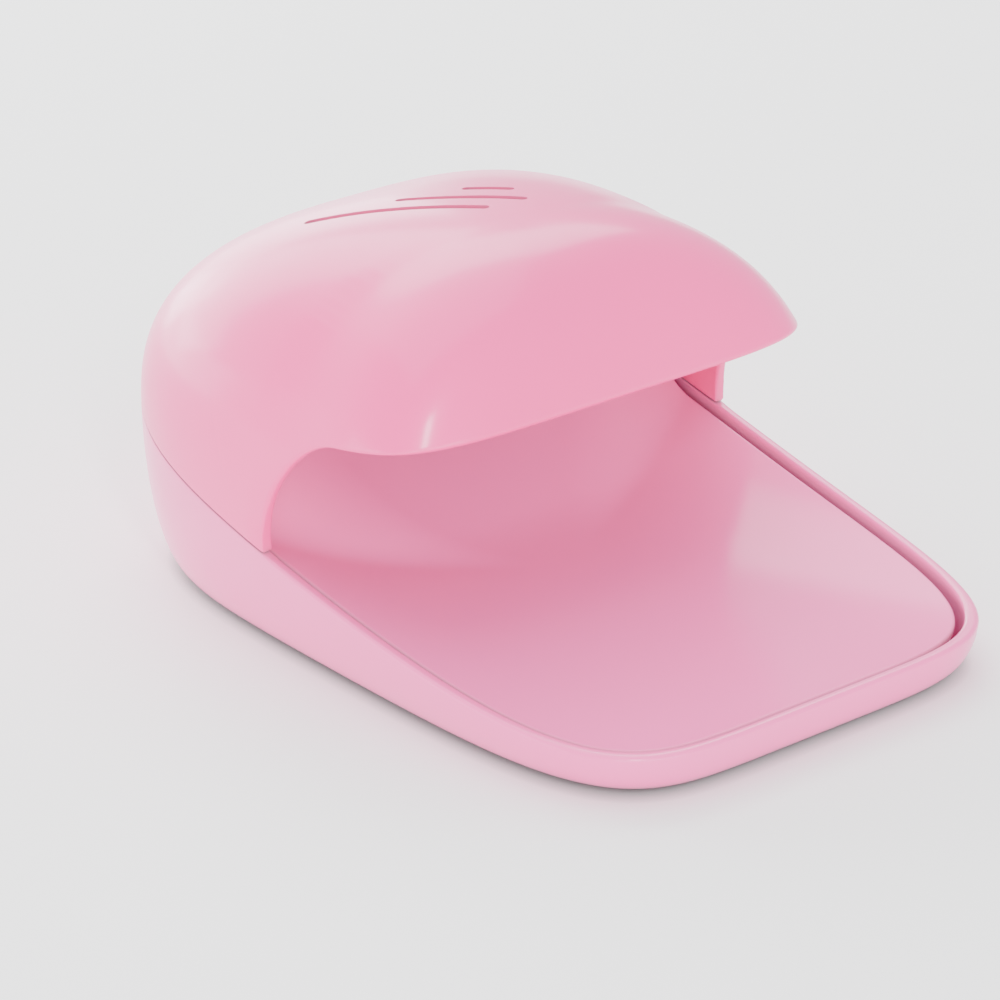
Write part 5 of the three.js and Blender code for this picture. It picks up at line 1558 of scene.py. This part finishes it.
class DRYER_OT_motor(bpy.types.Operator):
    """Build the motor's can with its rolled edges"""

    bl_idname = "dryer.motor"
    bl_label = "Motor Can"

    def execute(self, context):
        shape = CasingShape(context.scene.dryer_sizes)
        outer, bore, skin = MOTOR_RADIUS, MOTOR_BORE, MOTOR_SKIN
        outline = [
            [bore, MOTOR_Z + skin / 2], [bore, MOTOR_Z], [outer, MOTOR_Z], [outer, MOTOR_TOP],
            [outer - skin, MOTOR_TOP], [outer - skin, MOTOR_Z + skin], [bore, MOTOR_Z + skin],
            [bore, MOTOR_Z + skin / 2],
        ]
        can = new_object("motor_can_shell", [
            turned_solid(filleted(outline, 0.5 * MM)[:-1], (0, shape.fan, 0), 96)])
        shaded(can, 50)
        place_piece(can, zinc_steel(), "root", "steel", "motor_can")
        return {"FINISHED"}


class DRYER_OT_cells(bpy.types.Operator):
    """Build the two cells with their sleeves, ends and nubs"""

    bl_idname = "dryer.cells"
    bl_label = "Battery Cells"

    def execute(self, context):
        shape = CasingShape(context.scene.dryer_sizes)
        tip = BAY_HALF - CONTACT_DEPTH
        end = tip - CELL_NUB
        start = end - CELL_LENGTH
        r, nub = CELL_RADIUS, CELL_NUB_RADIUS
        metal = filleted([
            [0, start + 0.25 * MM], [4.2 * MM, start + 0.25 * MM], [4.6 * MM, start], [r - 0.3 * MM, start],
            [r - 0.25 * MM, start + 1 * MM], [r - 0.25 * MM, end - 1 * MM], [r - 0.4 * MM, end],
            [nub, end - 0.2 * MM], [nub, tip], [0, tip],
        ], 0.4 * MM)
        sleeve = filleted([
            [r - 0.2 * MM, mix(start, end, 0.5)], [r - 0.2 * MM, start + 0.5 * MM], [r, start + 0.5 * MM],
            [r, end - 0.35 * MM], [r - 1.6 * MM, end - 0.05 * MM], [r - 1.6 * MM, end - 0.25 * MM],
            [r - 0.2 * MM, end - 0.55 * MM], [r - 0.2 * MM, mix(start, end, 0.5)],
        ], 0.12 * MM)[:-1]
        for name, from_back, side in (
            ("battery_cell_front", CELL_FRONT_FROM_BACK, 1), ("battery_cell_rear", CELL_REAR_FROM_BACK, -1),
        ):
            spot = (0, shape.back - from_back, CELL_Z)
            solids = []
            for outline in (sleeve, metal):
                vertices, quads, triangles = turned_solid(outline, (0, 0, 0), 72, "X")
                solids.append((vertices * [side, side, 1] + spot, quads, triangles))
            cell = new_object(name + "_plain", solids)
            place_piece(cell, cell_sleeve(), "root", "cell", name)
            cell.data.materials.append(zinc_steel())
            sleeve_faces = len(solids[0][1])
            index = np.zeros(len(cell.data.polygons), np.int32)
            index[sleeve_faces:] = 1
            cell.data.polygons.foreach_set("material_index", index)
            shaded(cell, 45)
        return {"FINISHED"}


def coil_path(curls, first, last, height, wire):
    """A helix whose radius goes evenly from first to last, with a short straight end at each side."""
    turn = np.linspace(0, curls * 2 * math.pi, int(curls * 36) + 1)
    share = turn / turn[-1]
    radius = mix(first, last, share)
    path = points(radius * np.cos(turn), radius * np.sin(turn), mix(wire, height - wire, share))
    start, end = path[0].copy(), path[-1].copy()
    start[2], end[2] = 0, height
    return np.vstack([start, path, end])


class DRYER_OT_springs(bpy.types.Operator):
    """Build the press plate's springs and the cell springs"""

    bl_idname = "dryer.springs"
    bl_label = "Springs"

    def execute(self, context):
        shape = CasingShape(context.scene.dryer_sizes)
        wire, low = SPRING_WIRE, FLOOR + FIT_GAP
        for side, word in ((-1, "left"), (1, "right")):
            path = coil_path(SPRING_CURLS, SPRING_RADIUS, SPRING_RADIUS, SPRING_TOP - low, 2 * wire)
            vertices, quads, triangles = tube_solid(path, wire)
            spot = [side * SPRING_X, shape.hinge - SPRING_FROM_HINGE, low]
            spring = new_object(f"plate_spring_{word}_wire", [(vertices + spot, quads, triangles)])
            shaded(spring, 60)
            place_piece(spring, zinc_steel(), "root", "steel", f"plate_spring_{word}")
            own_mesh(spring)
        length = CELL_SPRING_LENGTH
        for name, from_back, side in (
            ("contact_spring_front", CELL_FRONT_FROM_BACK, -1),
            ("contact_spring_rear", CELL_REAR_FROM_BACK, 1),
        ):
            path = coil_path(SPRING_CURLS, *CELL_SPRING_RADII, length, 2 * wire)
            vertices, quads, triangles = tube_solid(path, wire)
            x = vertices[:, 2] * side + side * (BAY_HALF - CONTACT_STAND - FIT_GAP - length)
            y, z = vertices[:, 1] + shape.back - from_back, CELL_Z - vertices[:, 0] * side
            placed = np.column_stack([x, y, z])
            spring = new_object(name + "_wire", [(placed, quads, triangles)])
            shaded(spring, 60)
            place_piece(spring, zinc_steel(), "root", "steel", name)
        return {"FINISHED"}


class DRYER_OT_fittings(bpy.types.Operator):
    """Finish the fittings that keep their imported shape"""

    bl_idname = "dryer.fittings"
    bl_label = "Fittings"

    def execute(self, context):
        steel, brass = zinc_steel(), metal_material("plain brass", (0.66, 0.46, 0.17), 0.3)
        black = plastic_material("black plastic", (0.025, 0.025, 0.028), 0.42, relief=0.2)
        magnet = plastic_material(
            "sintered magnet", (0.05, 0.05, 0.055), 0.7, drift=0.4, peel=3000.0, relief=0.6)
        copper = metal_material("enamelled copper", (0.55, 0.22, 0.10), 0.3, 0.2)
        red = plastic_material("red insulation", (0.45, 0.03, 0.03), 0.45, drift=0.1)
        dark = plastic_material("black insulation", (0.02, 0.02, 0.02), 0.45, drift=0.1)
        finishes = {
            "hinge_pin_left": steel, "hinge_pin_right": steel, "contact_negative": steel,
            "contact_positive": steel, "contact_bridge": steel, "motor_shaft": steel,
            "motor_bearing": brass, "switch_tag_left": brass, "switch_tag_right": brass,
            "motor_terminal_left": brass, "motor_terminal_right": brass, "motor_magnet": magnet,
            "motor_armature": copper, "motor_end_cap": black, "switch_body": black,
            "switch_plunger": fan_plastic(), "motor_cradle": shroud_shaded_plastic(),
            "wire_battery_switch": red, "wire_switch_motor": red, "wire_battery_motor": dark,
        }
        for name, material in finishes.items():
            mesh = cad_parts[name].data
            mesh.materials.clear()
            mesh.materials.append(material)
        shown = [name for name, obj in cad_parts.items() if not obj.hide_render]
        bare = sorted(set(shown) - set(finishes))
        if bare:
            raise RuntimeError(f"these solids show with no finish: {bare}")
        return {"FINISHED"}


class DRYER_OT_stage(bpy.types.Operator):
    """Set the floor, the soft light and the camera"""

    bl_idname = "dryer.stage"
    bl_label = "Stage"

    def execute(self, context):
        studio = context.scene.dryer_studio
        run = np.linspace(-3.0, 3.0, 41)
        depth = np.linspace(-3.0, 4.0, 61)
        x, y = np.meshgrid(run, depth)
        bend = np.clip((y - 1.6) / 1.6, 0, None)
        z = 1.4 * bend**2
        grid = points(x, y, z).reshape(-1, 3)
        index = np.arange(x.size).reshape(x.shape)
        quads = np.stack([index[:-1, :-1], index[:-1, 1:], index[1:, 1:], index[1:, :-1]], -1)
        floor = new_object("studio_floor", [(grid, quads.reshape(-1, 4), np.zeros((0, 3), int))])
        shaded(floor, 60)
        floor.data.materials.append(plastic_material(
            "studio floor", studio.floor_colour, 0.7, drift=0.02, marks=0.02, relief=0.02))

        world = bpy.data.worlds.new("studio")
        world.use_nodes = True
        background = world.node_tree.nodes["Background"]
        background.inputs["Color"].default_value = (0.97, 0.98, 1.0, 1)
        background.inputs["Strength"].default_value = studio.sky
        context.scene.world = world

        area_light("overhead", (0.05, 0.35, 1.10), (0, 0.1, 0.02), (1.2, 1.2), 0, studio.overhead)
        area_light("rear", (0.24, 1.33, 0.92), (0, 0.02, 0.03), (2.9, 0.68), math.radians(-27), studio.rear)
        area_light("rear_low", (0.36, 1.40, 0.29), (0, 0.02, 0.03), (1.05, 0.52), 0, studio.rear_low)
        area_light("front", (-0.41, -0.80, 0.64), (0, 0.01, 0.03), (0.12, 0.34), 0, studio.front)
        area_light("front_low", (-0.45, -1.30, 0.20), (0, -0.02, 0.02), (1.6, 0.34), 0, studio.front_low)
        area_light("left", (-1.20, 0.35, 0.24), (0, 0.02, 0.02), (0.9, 0.4), 0, studio.left)
        area_light("left_rear", (-0.36, 1.28, 0.17), (-0.05, 0.03, 0.03), (1.3, 0.36), 0, studio.left_rear)

        data = bpy.data.cameras.new("photo_view")
        data.lens = studio.lens
        data.sensor_width = 36
        data.clip_start = 0.01
        camera = bpy.data.objects.new("photo_view", data)
        azimuth, elevation = studio.camera_azimuth, studio.camera_elevation
        back = Vector((
            math.sin(azimuth) * math.cos(elevation), -math.cos(azimuth) * math.cos(elevation),
            math.sin(elevation),
        ))
        camera.location = Vector(CAMERA_TARGET) + back * studio.camera_distance
        camera.rotation_euler = (-back).to_track_quat("-Z", "Y").to_euler()
        context.scene.collection.objects.link(camera)
        context.scene.camera = camera
        return {"FINISHED"}


def area_light(name, place, target, size, roll, power):
    """A soft panel of a width and height that faces a target, rolled about the way it faces.

    The camera itself doesn't see it.
    """
    data = bpy.data.lights.new(name, "AREA")
    data.shape = "RECTANGLE"
    data.size, data.size_y = size
    data.energy = power
    light = bpy.data.objects.new(name, data)
    light.location = place
    facing = (Vector(target) - Vector(place)).to_track_quat("-Z", "Y")
    light.rotation_euler = (facing @ Quaternion((0, 0, 1), roll)).to_euler()
    light.visible_camera = False
    bpy.context.scene.collection.objects.link(light)


OPERATORS = (
    DRYER_OT_upper_casing,
    DRYER_OT_lower_casing,
    DRYER_OT_press_plate,
    DRYER_OT_battery_door,
    DRYER_OT_feet,
    DRYER_OT_screws,
    DRYER_OT_ceiling,
    DRYER_OT_fan,
    DRYER_OT_motor,
    DRYER_OT_cells,
    DRYER_OT_springs,
    DRYER_OT_fittings,
    DRYER_OT_stage,
)


class DRYER_PT_panel(bpy.types.Panel):
    """Sidebar panel with the dryer's sizes, finishes and pieces"""

    bl_idname = "DRYER_PT_panel"
    bl_label = "Nail Dryer"
    bl_space_type = "VIEW_3D"
    bl_region_type = "UI"
    bl_category = "Nail Dryer"

    def draw(self, context):
        layout = self.layout
        for group in (context.scene.dryer_sizes, context.scene.dryer_finishes, context.scene.dryer_studio):
            column = layout.column(align=True)
            for name in type(group).__annotations__:
                column.prop(group, name)
        column = layout.column(align=True)
        for operator in OPERATORS:
            column.operator(operator.bl_idname)


CLASSES = (DryerSizes, DryerFinishes, StudioSettings, *OPERATORS, DRYER_PT_panel)


def register():
    """Registers the classes and hangs the settings on the scene."""
    for item in CLASSES:
        bpy.utils.register_class(item)
    bpy.types.Scene.dryer_sizes = PointerProperty(type=DryerSizes)
    bpy.types.Scene.dryer_finishes = PointerProperty(type=DryerFinishes)
    bpy.types.Scene.dryer_studio = PointerProperty(type=StudioSettings)


def unregister():
    """Takes the settings and classes away again."""
    del bpy.types.Scene.dryer_studio
    del bpy.types.Scene.dryer_finishes
    del bpy.types.Scene.dryer_sizes
    for item in reversed(CLASSES):
        bpy.utils.unregister_class(item)


def main():
    """Builds every piece and the stage."""
    register()
    bpy.ops.dryer.upper_casing()
    bpy.ops.dryer.lower_casing()
    bpy.ops.dryer.press_plate()
    bpy.ops.dryer.battery_door()
    bpy.ops.dryer.feet()
    bpy.ops.dryer.screws()
    bpy.ops.dryer.ceiling()
    bpy.ops.dryer.fan()
    bpy.ops.dryer.motor()
    bpy.ops.dryer.cells()
    bpy.ops.dryer.springs()
    bpy.ops.dryer.fittings()
    bpy.ops.dryer.stage()


if __name__ == "__main__":
    main()
